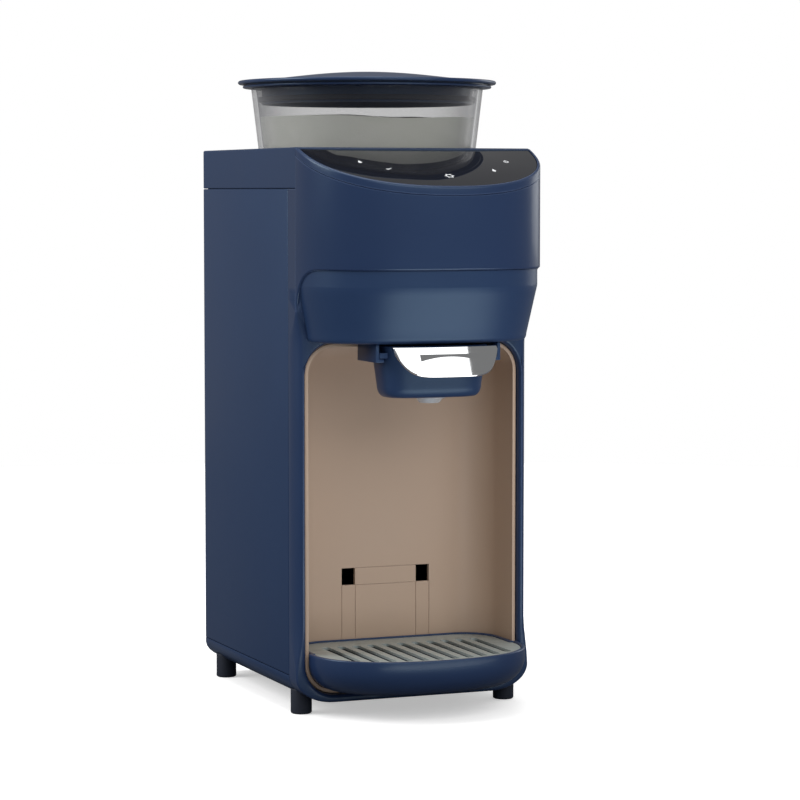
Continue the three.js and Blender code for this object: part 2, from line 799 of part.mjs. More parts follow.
// One level ring of the funnel, an oval with squared shoulders
function funnelRing(across, front, depth, z) {
  const points = [];
  for (let i = 0; i < hoodSteps; i += 1) {
    const angle = 2 * Math.PI * (i / hoodSteps);
    const [c, s] = [Math.cos(angle), Math.sin(angle)];
    const x = across * Math.sign(c) * Math.abs(c) ** (2 / funnelPower);
    const y = (depth / 2) * Math.sign(s) * Math.abs(s) ** (2 / funnelPower);
    points.push([x, front + depth / 2 + y, z]);
  }
  return points;
}

// Funnel cup with a flange on each side that hangs in the rails
function funnelCup() {
  const soleFront = funnelFront + funnelEdge / 2;
  const form = (inset, floor, ceiling) => skinned([
    funnelRing(funnelSoleHalfWidth - funnelEdge / 2 - inset, soleFront + funnelEdge / 2 + inset,
      funnelSoleDepth - funnelEdge - 2 * inset, floor),
    funnelRing(funnelSoleHalfWidth - inset, soleFront + inset, funnelSoleDepth - 2 * inset,
      floor + funnelEdge),
    funnelRing(funnelTopHalfWidth - inset, funnelFront + inset, funnelTopDepth - 2 * inset, ceiling),
  ], fromAbove);
  const reach = funnelTopDepth / 2 - funnelEdge;
  const flanges = [-1, 1].map((side) => {
    const near = side * (funnelTopHalfWidth - funnelWall);
    const far = side * (funnelTopHalfWidth + funnelFlange);
    return box(Math.min(near, far), Math.max(near, far), funnelMiddleY - reach, funnelMiddleY + reach,
      funnelFlangeHeight - funnelFlange, funnelFlangeHeight);
  });
  const cup = join(form(0, funnelBottom, funnelTop), ...flanges);
  const bore = barZ(nozzleBore + gap, 0, nozzleY(), 0, funnelTop);
  return cut(cup, form(funnelWall, funnelBottom + funnelWall, funnelTop + gap), bore);
}

function nozzleY() {
  return funnelFront + funnelEdge / 2 + funnelSoleDepth / 2;
}

function funnelNozzle() {
  const top = funnelBottom - gap;
  const low = top - nozzleDrop;
  return turned([[nozzleBore, low], [nozzleRadius - nozzleBore, low], [nozzleRadius, top], [nozzleBore, top]],
    0, nozzleY(), smallSteps);
}

function funnelRail(side) {
  const top = spoutBottom - gap;
  const [x0, x1] = [funnelRailX, funnelRailX + railWall];
  const low = top - railDepth;
  const shape = outline([[side * x1, low], [side * x1, top], [side * x0, top], [side * x0, low + railWall],
    [side * (x0 - railLip), low + railWall], [side * (x0 - railLip), low]]);
  const reach = funnelTopDepth / 2 - funnelEdge + gap;
  return prismY(shape, funnelMiddleY - reach, funnelMiddleY + reach);
}

// Handle: a bowed, leaning plate with rounded lower ends, and a neck to the cup
function funnelHandle() {
  const rings = [];
  const front = funnelFront - gap;
  for (let i = 0; i <= handleSteps; i += 1) {
    const share = 2 * (i / handleSteps) - 1;
    const ends = Math.abs(share) ** handlePower;
    const low = handleBottom + (handleTop - handleBottom - handleThickness) * ends;
    const lean = (z) => handleLean * (handleTop - z) / (handleTop - handleBottom);
    const y = (z) => front - handleThickness - handleBow * (1 - share * share) - lean(z);
    const x = (handleWidth / 2) * share;
    rings.push([[x, y(low), low], [x, y(low) + handleThickness, low],
      [x, y(handleTop) + handleThickness, handleTop], [x, y(handleTop), handleTop]]);
  }
  const plate = skinned(rings, ([, y, z]) => [y, z]);
  const middle = (handleTop + handleBottom) / 2;
  const neck = box(-handleNeckWidth / 2, handleNeckWidth / 2, front - handleBow - handleNeckReach,
    front + handleNeckReach, middle - handleNeckHeight / 2, middle + handleNeckHeight / 2);
  const cupForm = skinned([
    funnelRing(funnelSoleHalfWidth + gap, funnelFront + funnelEdge / 2 - gap, funnelSoleDepth + 2 * gap,
      funnelBottom + funnelEdge),
    funnelRing(funnelTopHalfWidth + gap, funnelFront - gap, funnelTopDepth + 2 * gap, funnelTop),
  ], fromAbove);
  return cut(join(plate, neck), cupForm);
}

// Drip tray in plan: a bulging front, and a narrower back that fits the bay
function trayPlan(inset) {
  const back = frontY + bayDepth - gap - runGap - inset;
  const x = bayWidth / 2 - linerWall - gap - inset;
  const radius = trayBackCorner;
  const points = frontArc(trayHalfWidth - inset, trayReach - inset, frontY - gap, hoodPower);
  for (const [middle, start] of [[x - radius, 0], [radius - x, Math.PI / 2]]) {
    if (start === 0) {
      points.push([x, frontY - gap]);
    }
    for (let i = 0; i <= cornerSteps; i += 1) {
      const angle = start + (Math.PI / 2) * (i / cornerSteps);
      points.push([middle + radius * Math.cos(angle), back - radius + radius * Math.sin(angle)]);
    }
  }
  points.push([-x, frontY - gap]);
  return points;
}

function dripTray() {
  const ring = (inset, z) => trayPlan(inset).map(([x, y]) => [x, y, z]);
  const low = [];
  for (let i = 0; i <= cornerSteps / 2; i += 1) {
    const angle = (Math.PI / 2) * (i / (cornerSteps / 2));
    const [inset, rise] = [1 - Math.sin(angle), 1 - Math.cos(angle)].map((share) => trayEdgeRadius * share);
    low.push(ring(inset, trayBottom + rise));
  }
  const outer = skinned([...low, ring(0, trayRim)], fromAbove);
  const deep = trayWall + trayLedge;
  const inner = skinned([ring(trayEdgeRadius, trayBottom + trayWall), ring(deep, trayBottom + trayEdgeRadius),
    ring(deep, trayRim + gap)], fromAbove);
  return cut(outer, inner, prismZ(outline(trayPlan(trayWall)), gridBottom - gap, trayRim + overrun));
}

function dripGrid() {
  const plate = prismZ(outline(trayPlan(trayWall + gap)), gridBottom, gridTop);
  const slots = [];
  for (let i = 0; i < gridSlots; i += 1) {
    const x = (i - (gridSlots - 1) / 2) * gridPitch;
    const bulge = (1 - Math.abs(x / trayHalfWidth) ** hoodPower) ** (1 / hoodPower);
    const front = frontY - trayReach * bulge + gridSlotInset;
    const hole = roundedRectangle(x - gridSlotWidth / 2, x + gridSlotWidth / 2, front, frontY + gridSlotBack,
      gridSlotWidth / 2, slotEndSteps);
    slots.push(prismZ(hole, gridBottom - gap, gridTop + gap));
  }
  return cut(plate, ...slots);
}

// Hopper: a tapered clear bin, open at both ends
function hopper() {
  const waist = hopperRadiusAt(chamberTop);
  return turned([[waist - hopperWall, chamberTop], [waist, chamberTop], [hopperTopRadius, hopperTop],
    [hopperTopRadius - hopperWall, hopperTop]], 0, hopperY);
}

// Dosing chamber that closes the hopper's foot, with a shaft hole and one powder outlet
function hopperBase() {
  const [floor, top] = [hopperBottom + hopperFloor, chamberTop - gap];
  const waist = hopperRadiusAt(chamberTop);
  const profile = [[hubRadius + gap, hopperBottom], [hopperBaseRadius, hopperBottom], [waist, top],
    [waist - hopperWall, top], [hopperBaseRadius - hopperWall, floor], [hubRadius + gap, floor]];
  const outlet = barZ(outletRadius, 0, hopperY - pocketCircle, hopperBottom - gap, floor + gap);
  return cut(turned(profile, 0, hopperY), outlet);
}

function hopperLid() {
  const seat = hopperTop + gap;
  const rim = seat + lidRim;
  const crown = rim + lidDome - lidRim / 2;
  const bottom = seat - skirtDepth;
  const inner = skirtRadius - lidThickness;
  const dome = (radius) => crown - (crown - rim) * (radius / lidRadius) ** 2;
  const profile = [[0, crown - lidThickness], [inner, dome(inner) - lidThickness], [inner, bottom],
    [skirtRadius, bottom], [skirtRadius, seat], [hopperTopRadius, seat], [lidRadius, rim - lidThickness / 2],
    [lidRadius, rim]];
  const steps = cornerSteps / 2;
  for (let i = 1; i <= steps; i += 1) {
    const radius = lidRadius * (1 - i / steps);
    profile.push([radius, dome(radius)]);
  }
  return turned(profile, 0, hopperY);
}

function lidSeal() {
  const low = hopperTop + gap - skirtDepth + sealDrop;
  const [inner, outer] = [skirtRadius + gap, hopperRadiusAt(low) - hopperWall - gap];
  const high = low + sealHeight;
  return turned([[inner, low], [outer, low], [outer, high], [inner, high]], 0, hopperY);
}

// Dosing wheel: a disc of powder pockets with a six-sided drive socket in its hub
function dosingWheel() {
  const disc = barZ(wheelRadius, 0, hopperY, wheelBottom, wheelTop, roundSteps);
  const hub = barZ(hubRadius, 0, hopperY, wheelTop - gap, wheelTop + hubHeight);
  const pockets = [];
  for (let i = 0; i < pocketCount; i += 1) {
    const angle = 2 * Math.PI * (i / pocketCount);
    const [x, y] = [pocketCircle * Math.cos(angle), pocketCircle * Math.sin(angle)];
    pockets.push(barZ(pocketRadius, x, hopperY + y, wheelBottom - gap, wheelTop + gap, coarseSteps));
  }
  const socket = barZ(dogRadius + gap, 0, hopperY, wheelBottom - gap, dogTop + gap, dogSides);
  return cut(join(disc, hub), ...pockets, socket);
}

// Stirrer: a collar round the hub, two arms and two upright blades
function stirrer() {
  const low = wheelTop + gap;
  const collar = cut(barZ(hubRadius + stirrerBar, 0, hopperY, low, low + hubHeight),
    barZ(hubRadius + gap, 0, hopperY, low - gap, low + overrun));
  const [y0, y1] = [hopperY - stirrerBar / 2, hopperY + stirrerBar / 2];
  const arms = [-1, 1].map((side) => {
    const [near, far] = [side * (hubRadius + stirrerBar / 2), side * pocketCircle];
    const arm = box(Math.min(near, far), Math.max(near, far), y0, y1, low, low + hubHeight);
    const tip = side * (pocketCircle - stirrerBar / 2);
    return join(arm, box(tip - stirrerBar / 2, tip + stirrerBar / 2, y0, y1, low, low + stirrerHeight));
  });
  return join(collar, ...arms);
}

// A spur gear blank: plain trapezoid teeth on a disc
function gearBlank(teeth, x, y, z0, z1, phaseShare) {
  const pitchRadius = gearModule * teeth / 2;
  const [root, tip] = [pitchRadius - gearModule, pitchRadius + gearModule * toothHeightShare];
  const tooth = [[root, -toothRootShare], [tip, -toothTipShare], [tip, toothTipShare],
    [root, toothRootShare]];
  const points = [];
  for (let i = 0; i < teeth; i += 1) {
    for (const [radius, share] of tooth) {
      const angle = 2 * Math.PI * ((i + phaseShare + share) / teeth);
      points.push([x + radius * Math.cos(angle), y + radius * Math.sin(angle)]);
    }
  }
  return prismZ(outline(points), z0, z1);
}

function driveGear() {
  const blank = gearBlank(gearTeeth, 0, hopperY, gearBottom, gearTop, toothPhaseShare);
  const shaft = barZ(shaftRadius, 0, hopperY, gearPlateBottom, hopperBottom);
  const dog = barZ(dogRadius, 0, hopperY, hopperBottom - gap, dogTop, dogSides);
  return join(blank, shaft, dog);
}

function motorPinion() {
  const blank = gearBlank(pinionTeeth, motorX, hopperY, gearBottom, gearTop, 0);
  const shaft = barZ(pinionShaftRadius, motorX, hopperY, gearPlateBottom - gearHeight, gearTop);
  return join(blank, shaft);
}

function gearboxPlate() {
  const reach = gearModule * gearTeeth / 2 + gearPlateMargin;
  const [x0, x1, y0, y1] = [motorX - motorRadius, reach, hopperY - reach, hopperY + reach];
  const plate = box(x0, x1, y0, y1, gearPlateBottom, gearPlateTop);
  const posts = [];
  for (const x of [x0 + postRadius, x1 - postRadius]) {
    for (const y of [y0 + postRadius, y1 - postRadius]) {
      posts.push(barZ(postRadius, x, y, gearPlateTop - gap, wellBottom - gap, coarseSteps));
    }
  }
  const holes = [barZ(shaftRadius + gap, 0, hopperY, gearPlateBottom - gap, gearPlateTop + gap),
    barZ(pinionShaftRadius + gap, motorX, hopperY, gearPlateBottom - gap, gearPlateTop + gap)];
  return cut(join(plate, ...posts), ...holes);
}

function dosingMotor() {
  const top = gearPlateBottom - gap;
  const can = barZ(motorRadius, motorX, hopperY, top - motorLength, top, roundSteps / 2);
  const bottom = gearPlateBottom - gearHeight - gap;
  return cut(can, barZ(pinionShaftRadius + gap, motorX, hopperY, bottom, top + gap));
}

// Tank bay: floor, partition and the step that passes behind the well
function tankBay() {
  const x = halfWidth - wall - gap;
  const back = backY - wall - gap;
  const top = bandBottom - gap;
  const shape = outline([[partitionY, rearCoverTop], [back, rearCoverTop], [back, rearCoverTop + wall],
    [partitionY + wall, rearCoverTop + wall], [partitionY + wall, bayShelf],
    [upperPartitionY + wall, bayShelf], [upperPartitionY + wall, top],
    [upperPartitionY, top], [upperPartitionY, bayShelf + wall], [partitionY, bayShelf + wall]]);
  const hole = barY(socketRadius + gap, -waterSideX, socketZ, partitionY - overrun, partitionY + overrun);
  return cut(prismX(shape, -x, x), hole);
}

// Water tank: stepped to pass behind the well, open on top, with a window for the grip pocket
function waterTank() {
  const x = halfWidth - backReturn - gap;
  const form = (inset, top) => outline([
    [partitionY + wall + gap + inset, rearCoverTop + wall + gap + inset],
    [backY - inset, rearCoverTop + wall + gap + inset],
    [backY - inset, top],
    [upperPartitionY + wall + gap + inset, top],
    [upperPartitionY + wall + gap + inset, bayShelf - gap - inset],
    [partitionY + wall + gap + inset, bayShelf - gap - inset]]);
  const outer = prismX(form(0, tankTop), -x, x);
  const inner = prismX(form(tankWall, tankTop + overrun), tankWall - x, x - tankWall);
  const outlet = barY(socketRadius + 2 * sealSection + 2 * gap, -waterSideX, socketZ, partitionY,
    partitionY + wall + overrun);
  return cut(outer, inner, gripBlock(tankWall + gap, tankWall + gap), outlet);
}

// A block round the finger space in the tank's back, grown by a margin and reaching in by a depth
function gripBlock(margin, depth) {
  const [x, z] = [gripWidth / 2 + margin, gripHeight / 2 + margin];
  return box(-x, x, backY - depth, backY + overrun, gripMiddle - z, gripMiddle + z);
}

// Grip pocket, let into the window in the tank's back wall
function tankGrip() {
  const pocket = cut(gripBlock(tankWall, gripDepth + tankWall), gripBlock(0, gripDepth));
  return cut(pocket, box(-halfWidth, halfWidth, backY, backY + 2 * overrun, 0, bodyTop));
}

function tankSocket() {
  const front = partitionY - socketReach;
  const back = partitionY + wall + gap + socketReach;
  const tube = barY(socketRadius, -waterSideX, socketZ, front, back);
  const collar = barY(socketCollar, -waterSideX, socketZ, partitionY - gap - wall, partitionY - gap);
  return cut(join(tube, collar), barY(socketBore, -waterSideX, socketZ, front + socketReach, back + gap));
}

function tankSeal() {
  const middle = socketRadius + gap + sealSection;
  const points = [];
  for (let i = 0; i < cornerSteps; i += 1) {
    const angle = 2 * Math.PI * (i / cornerSteps);
    points.push([middle + sealSection * Math.cos(angle), sealSection * Math.sin(angle)]);
  }
  const profile = points.map(([radius, height]) => new THREE.Vector2(radius, height));
  profile.push(profile[0].clone());
  const ring = new THREE.LatheGeometry(profile, smallSteps);
  return solid(ring.translate(-waterSideX, partitionY + wall + gap + sealSection + gap / 2, socketZ));
}

// Pump, lying on the base
function waterPump() {
  const can = barY(pumpRadius, -waterSideX, pumpZ, pumpFront, pumpBack, roundSteps / 2);
  const base = box(-waterSideX - pumpBaseWidth / 2, -waterSideX + pumpBaseWidth / 2, pressureY, suctionY,
    bodyBottom + wall + gap, pumpZ);
  const ports = [suctionY, pressureY].map((y) => barZ(portRadius, -waterSideX, y, pumpZ, pumpPortTop));
  return join(can, base, ...ports);
}

// Heater, standing against the partition
function heaterBlock() {
  const can = barZ(heaterRadius, waterSideX, heaterY, heaterBottom, heaterTop, roundSteps / 2);
  const foot = box(waterSideX - heaterFootWidth / 2, waterSideX + heaterFootWidth / 2, heaterY,
    partitionY - gap, heaterBottom + portLength, heaterTop - portLength);
  const ports = barZ(portRadius, waterSideX, heaterY, heaterBottom - portLength, heaterTop + portLength);
  return join(can, foot, ports);
}

// A hose of round section along a curve
function hose(curve, steps) {
  const points = [];
  for (let i = 0; i < cornerSteps; i += 1) {
    const angle = 2 * Math.PI * (i / cornerSteps);
    points.push([hoseRadius * Math.cos(angle), hoseRadius * Math.sin(angle)]);
  }
  const section = outline(points);
  return solid(new THREE.ExtrudeGeometry(section, { steps, extrudePath: curve, bevelEnabled: false }));
}

function suctionHose() {
  const start = new THREE.Vector3(-waterSideX, suctionY, pumpPortTop + gap);
  const end = new THREE.Vector3(-waterSideX, partitionY - socketReach - gap, socketZ);
  const corner = new THREE.Vector3(-waterSideX, suctionY, socketZ);
  return hose(new THREE.QuadraticBezierCurve3(start, corner, end), cornerSteps);
}

function pressureHose() {
  const start = new THREE.Vector3(-waterSideX, pressureY, pumpPortTop + gap);
  const end = new THREE.Vector3(waterSideX, heaterY, heaterBottom - portLength - gap);
  const rise = new THREE.Vector3(0, 0, end.z - start.z);
  const curve = new THREE.CubicBezierCurve3(start, start.clone().add(rise), end.clone().sub(rise), end);
  return hose(curve, smallSteps);
}

function spoutHose() {
  const [startZ, endZ] = [heaterTop + portLength + gap, spoutBottom + wall + waterNozzleLength + gap];
  const curve = new THREE.CatmullRomCurve3([
    new THREE.Vector3(waterSideX, heaterY, startZ),
    new THREE.Vector3(waterSideX, heaterY, startZ + hoseStraight),
    new THREE.Vector3(waterSideX, (heaterY + hopperY) / 2, spoutHoseHeight - hoseRadius),
    new THREE.Vector3(waterSideX, sideFrontY, spoutHoseHeight),
    new THREE.Vector3((waterSideX + waterNozzleX) / 2, waterNozzleY + hoseStraight, spoutHoseHeight),
    new THREE.Vector3(waterNozzleX, waterNozzleY, endZ + hoseStraight),
    new THREE.Vector3(waterNozzleX, waterNozzleY, endZ),
  ]);
  return hose(curve, roundSteps / 2);
}

function waterNozzle() {
  const [low, seat] = [spoutBottom + gap, spoutBottom + wall + gap];
  const top = spoutBottom + wall + waterNozzleLength;
  const tube = barZ(waterNozzleRadius, waterNozzleX, waterNozzleY, low, top);
  const flange = barZ(waterNozzleRadius + waterNozzleFlange, waterNozzleX, waterNozzleY,
    seat, seat + waterNozzleFlange);
  return cut(join(tube, flange), barZ(socketBore, waterNozzleX, waterNozzleY, 0, top - wall));
}

// Main board on standoffs against the partition
function mainBoard() {
  const back = partitionY - gap;
  const [x0, z0] = [boardInset - halfWidth, boardBottom];
  const [x1, z1] = [waterSideX - heaterRadius - boardClear, z0 + boardHeight];
  const face = back - standoff - boardThickness;
  const plate = box(x0, x1, face, back - standoff, z0, z1);
  const posts = [];
  for (const x of [x0 + standoff, x1 - standoff]) {
    for (const z of [z0 + standoff, z1 - standoff]) {
      posts.push(barY(standoffRadius, x, z, back - standoff - gap, back, cornerSteps));
    }
  }
  const across = (share) => x0 + (x1 - x0) * share;
  const up = (share) => z0 + (z1 - z0) * share;
  const transformer = box(...transformerShares.map(across), face - boardPartHeight, face + gap,
    ...transformerShares.map(up));
  const relay = box(...relayAcrossShares.map(across), face - relayHeight, face + gap,
    ...relayUpShares.map(up));
  const capacitors = capacitorAcrossShares.map((share) => barY(capacitorRadius, across(share),
    up(capacitorUpShare), face - boardPartHeight, face + gap, coarseSteps));
  return join(plate, ...posts, transformer, relay, ...capacitors);
}

piece("base_shell", baseShell(), navyLight);
piece("front_shell", frontShell(), navy);
piece("panel_rim", panelRim(), navy);
piece("touch_panel", touchPanel(), blackGlass);
piece("control_board", controlBoard(), boardGreen);
piece("left_side_panel", sidePanel(-1), navyLight);
piece("right_side_panel", sidePanel(1), navyLight);
piece("rear_cover", rearCover(), navyLight);
piece("power_inlet", powerInlet(), blackPlastic);
piece("top_cover", topCover(), navyLight);
piece("hopper_well", hopperWell(), navyLight);
piece("well_floor", wellFloor(), navyLight);
piece("niche_liner", nicheLiner(), taupe);
piece("niche_back", nicheBack(), taupe);
piece("niche_corner_left", nicheCorner(-1), taupe);
piece("niche_corner_right", nicheCorner(1), taupe);
piece("spout_housing", spoutHousing(), navyLight);
piece("powder_chute", powderChute(), nylon);
piece("funnel_rail_left", funnelRail(-1), blackPlastic);
piece("funnel_rail_right", funnelRail(1), blackPlastic);
piece("funnel_cup", funnelCup(), navyLight);
piece("funnel_handle", funnelHandle(), chrome);
piece("funnel_nozzle", funnelNozzle(), clearGrey);
piece("drip_tray", dripTray(), navy);
piece("drip_grid", dripGrid(), steel);
piece("hopper", hopper(), frosted);
piece("hopper_base", hopperBase(), blackPlastic);
piece("hopper_lid", hopperLid(), navy);
piece("lid_seal", lidSeal(), rubber);
piece("dosing_wheel", dosingWheel(), nylon);
piece("stirrer", stirrer(), nylon);
piece("drive_gear", driveGear(), nylon);
piece("motor_pinion", motorPinion(), castAlloy);
piece("gearbox_plate", gearboxPlate(), blackPlastic);
piece("dosing_motor", dosingMotor(), castAlloy);
piece("tank_bay", tankBay(), blackPlastic);
piece("water_tank", waterTank(), smoke);
piece("tank_grip", tankGrip(), smoke);
piece("tank_socket", tankSocket(), blackPlastic);
piece("tank_seal", tankSeal(), rubber);
piece("water_pump", waterPump(), blackPlastic);
piece("heater_block", heaterBlock(), castAlloy);
piece("suction_hose", suctionHose(), silicone);
piece("pressure_hose", pressureHose(), silicone);
piece("spout_hose", spoutHose(), silicone);
piece("water_nozzle", waterNozzle(), clearGrey);
piece("main_board", mainBoard(), boardGreen);
feetPlaces().forEach(([x, y], i) => piece(`foot_${i + 1}`, foot(x, y), rubber));
screwPlaces().forEach(([x, y], i) => piece(`base_screw_${i + 1}`, baseScrew(x, y), steel));

export default part;
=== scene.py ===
import math

import bmesh
import bpy
from bpy.props import FloatProperty, FloatVectorProperty, IntProperty, PointerProperty
from mathutils import Matrix, Vector


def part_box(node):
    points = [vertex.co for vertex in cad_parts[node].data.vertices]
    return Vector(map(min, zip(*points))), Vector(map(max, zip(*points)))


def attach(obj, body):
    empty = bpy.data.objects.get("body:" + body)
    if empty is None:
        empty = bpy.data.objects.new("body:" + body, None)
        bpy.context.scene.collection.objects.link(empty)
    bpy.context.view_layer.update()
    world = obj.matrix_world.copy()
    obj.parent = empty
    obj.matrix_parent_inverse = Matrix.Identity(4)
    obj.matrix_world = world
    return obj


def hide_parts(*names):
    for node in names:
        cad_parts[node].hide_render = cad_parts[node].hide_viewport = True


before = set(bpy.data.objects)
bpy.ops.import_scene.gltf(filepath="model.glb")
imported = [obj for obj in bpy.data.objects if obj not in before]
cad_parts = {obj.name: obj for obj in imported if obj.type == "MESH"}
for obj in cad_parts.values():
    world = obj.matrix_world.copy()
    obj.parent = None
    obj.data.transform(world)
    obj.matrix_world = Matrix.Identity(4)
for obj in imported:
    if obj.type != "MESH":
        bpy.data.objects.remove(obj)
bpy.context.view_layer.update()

bl_info = {
    "name": "Baby formula maker",
    "version": (1, 0, 0),
    "blender": (4, 5, 0),
    "location": "View3D > Sidebar > Formula Maker",
    "description": "Dresses the formula maker: navy housing, bay, panel, powder hopper, tank and works",
    "category": "Object",
}


def low(node):
    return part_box(node)[0]


def high(node):
    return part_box(node)[1]


def middle(node):
    return (low(node) + high(node)) / 2


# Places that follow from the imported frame, in metres
HALF_WIDTH = high("front_shell").x
FACE_Y = low("niche_liner").y
HOOD_FRONT_Y = low("front_shell").y
SEAM_Y = high("front_shell").y
BACK_Y = high("base_shell").y
FLOOR_Z = low("front_shell").z
BASE_TOP = high("base_shell").z
BAND_LOW = low("top_cover").z
TOP_Z = high("top_cover").z
HOOD_REACH = FACE_Y - HOOD_FRONT_Y
HOPPER_Y = middle("hopper").y
GAP = low("left_side_panel").z - BASE_TOP
BAY_HALF = high("niche_liner").x + GAP
BAY_LOW = low("niche_liner").z - GAP
BAY_HIGH = high("niche_liner").z + GAP
BAY_BACK_Y = high("niche_back").y
TRAY_HALF = high("drip_tray").x
TRAY_REACH = FACE_Y - GAP - low("drip_tray").y
SPOUT_LOW = low("spout_housing").z
CUP_BACK_Y = high("funnel_cup").y
CUP_LOW, CUP_HIGH = low("funnel_cup").z, high("funnel_cup").z
LID_RADIUS = high("hopper_lid").x
FULL_TURN = 2 * math.pi
QUARTER = math.pi / 2
# Rounding of the edges of small pieces
FINE_EDGE = 0.0003
# Middle and kind of each touch sign, in plan
SIGNS = ((-0.0430, -0.0780, "drop"), (-0.0291, -0.0887, "scoop"), (0.0045, -0.0992, "start"),
         (0.0364, -0.0906, "drop"), (0.0503, -0.0772, "power"))
# Name of each lamp, where it stands, where it points, its width and height in metres and its power in watts
LAMPS = (("left", (-1.7, 0.35, 1.25), (0, 0, 0.19), 1.2, 1.4, 26),
         ("front", (0.2, -1.8, 1.45), (0, 0, 0.19), 2.4, 1.6, 21),
         ("right", (1.6, 0.7, 0.7), (0, 0, 0.19), 0.8, 1.2, 4),
         ("top", (0.0, 0.3, 2.2), (0, 0, 0.19), 1.4, 1.4, 14),
         ("card", (0.12, -0.42, 0.012), (0.12, -0.40, 0.5), 0.5, 0.34, 1.4))


def length(name, value, description):
    """A named size in metres."""
    return FloatProperty(name=name, default=value, min=0, unit="LENGTH", precision=5,
                         description=description)


def share(name, value, description):
    return FloatProperty(name=name, default=value, min=0, max=1, subtype="FACTOR", description=description)


def colour(name, value, description):
    return FloatVectorProperty(name=name, default=value, size=3, min=0, max=1, subtype="COLOR",
                               description=description)


class FormulaHousing(bpy.types.PropertyGroup):
    wall: length("Wall", 0.0024, "Thickness of the moulded walls")
    seam_edge: length("Seam edge", 0.0005, "Rounding of the edges that meet at a seam")
    corner: length("Frame corner", 0.005, "Rounding of the frame's outer edges, across")
    corner_deep: length("Frame corner depth", 0.0115, "Rounding of the frame's outer edges, front to back")
    corner_low: length("Corner fade start", 0.222, "Height where the frame's corner begins to fade")
    corner_foot: length("Corner foot", 0.030, "Height over which the corner grows above the lower curve")
    mouth_edge: length("Bay mouth edge", 0.0022, "Rounding of the bay's opening, across")
    mouth_deep: length("Bay mouth depth", 0.0036, "Rounding of the bay's opening, front to back")
    curve_width: length("Lower curve width", 0.024, "How far the lower edge's curve runs in from the side")
    curve_height: length("Lower curve height", BASE_TOP - FLOOR_Z, "How high the lower edge's curve runs")
    bay_corner: length("Bay corner", 0.0183, "Corner radius of the opening for the bay")
    hood_height: length("Hood height", 0.071, "From the flat top down to the hood's lower edge")
    hood_fillet: length("Hood fillet", 0.025, "Radius where the hood's edge turns down into the frame")
    hood_power: FloatProperty(name="Hood power", default=2.3, description="Squareness of the hood in plan")
    lip: length("Lip radius", 0.0012, "Rounding of the hood's lower lip")
    cover_edge: length("Cover edge", 0.0011, "Rounding of the top cover's upper edge")
    well_lip: length("Well lip", 0.0017, "How far the hole in the top covers the well's wall")
    leak_lip: length("Seam lip", 0.004, "Height of the lips that close the long seam from inside")
    window_half: length("Window half width", 0.060, "Opening behind the hood, half its width")
    window_low: length("Window rise", 0.0032, "From the spout's sole up to the opening behind the hood")
    window_top: length("Window drop", 0.012, "From the side band's seam down to that opening")
    spout_inset: length("Spout inset", 0.0015, "How far the spout housing lies inside the hood's face")
    spout_band: length("Spout band", 0.010, "Height of the spout's upright band")
    spout_side: length("Spout side inset", 0.009, "Inset of the spout's sole at the sides")
    spout_front: length("Spout front inset", 0.015, "Inset of the spout's sole at the front")
    spout_edge: length("Spout edge", 0.004, "Height of the rounding at the spout's sole")
    spout_crease: length("Spout crease", 0.0004, "Height of the soft crease above the spout's taper")
    chute_deep: length("Chute depth", 0.018, "Depth of the opening for the chute in the spout's sole")
    nozzle_hole: length("Nozzle hole", 0.0043, "Radius of the hole for the water nozzle in the spout's sole")
    foot_edge: length("Foot edge", 0.0012, "Rounding of a foot's lower edge")
    foot_hollow: length("Foot hollow", 0.0004, "Depth of the hollow under a foot")
    steps: IntProperty(name="Steps", default=72, min=24, description="Steps along the hood's curve")


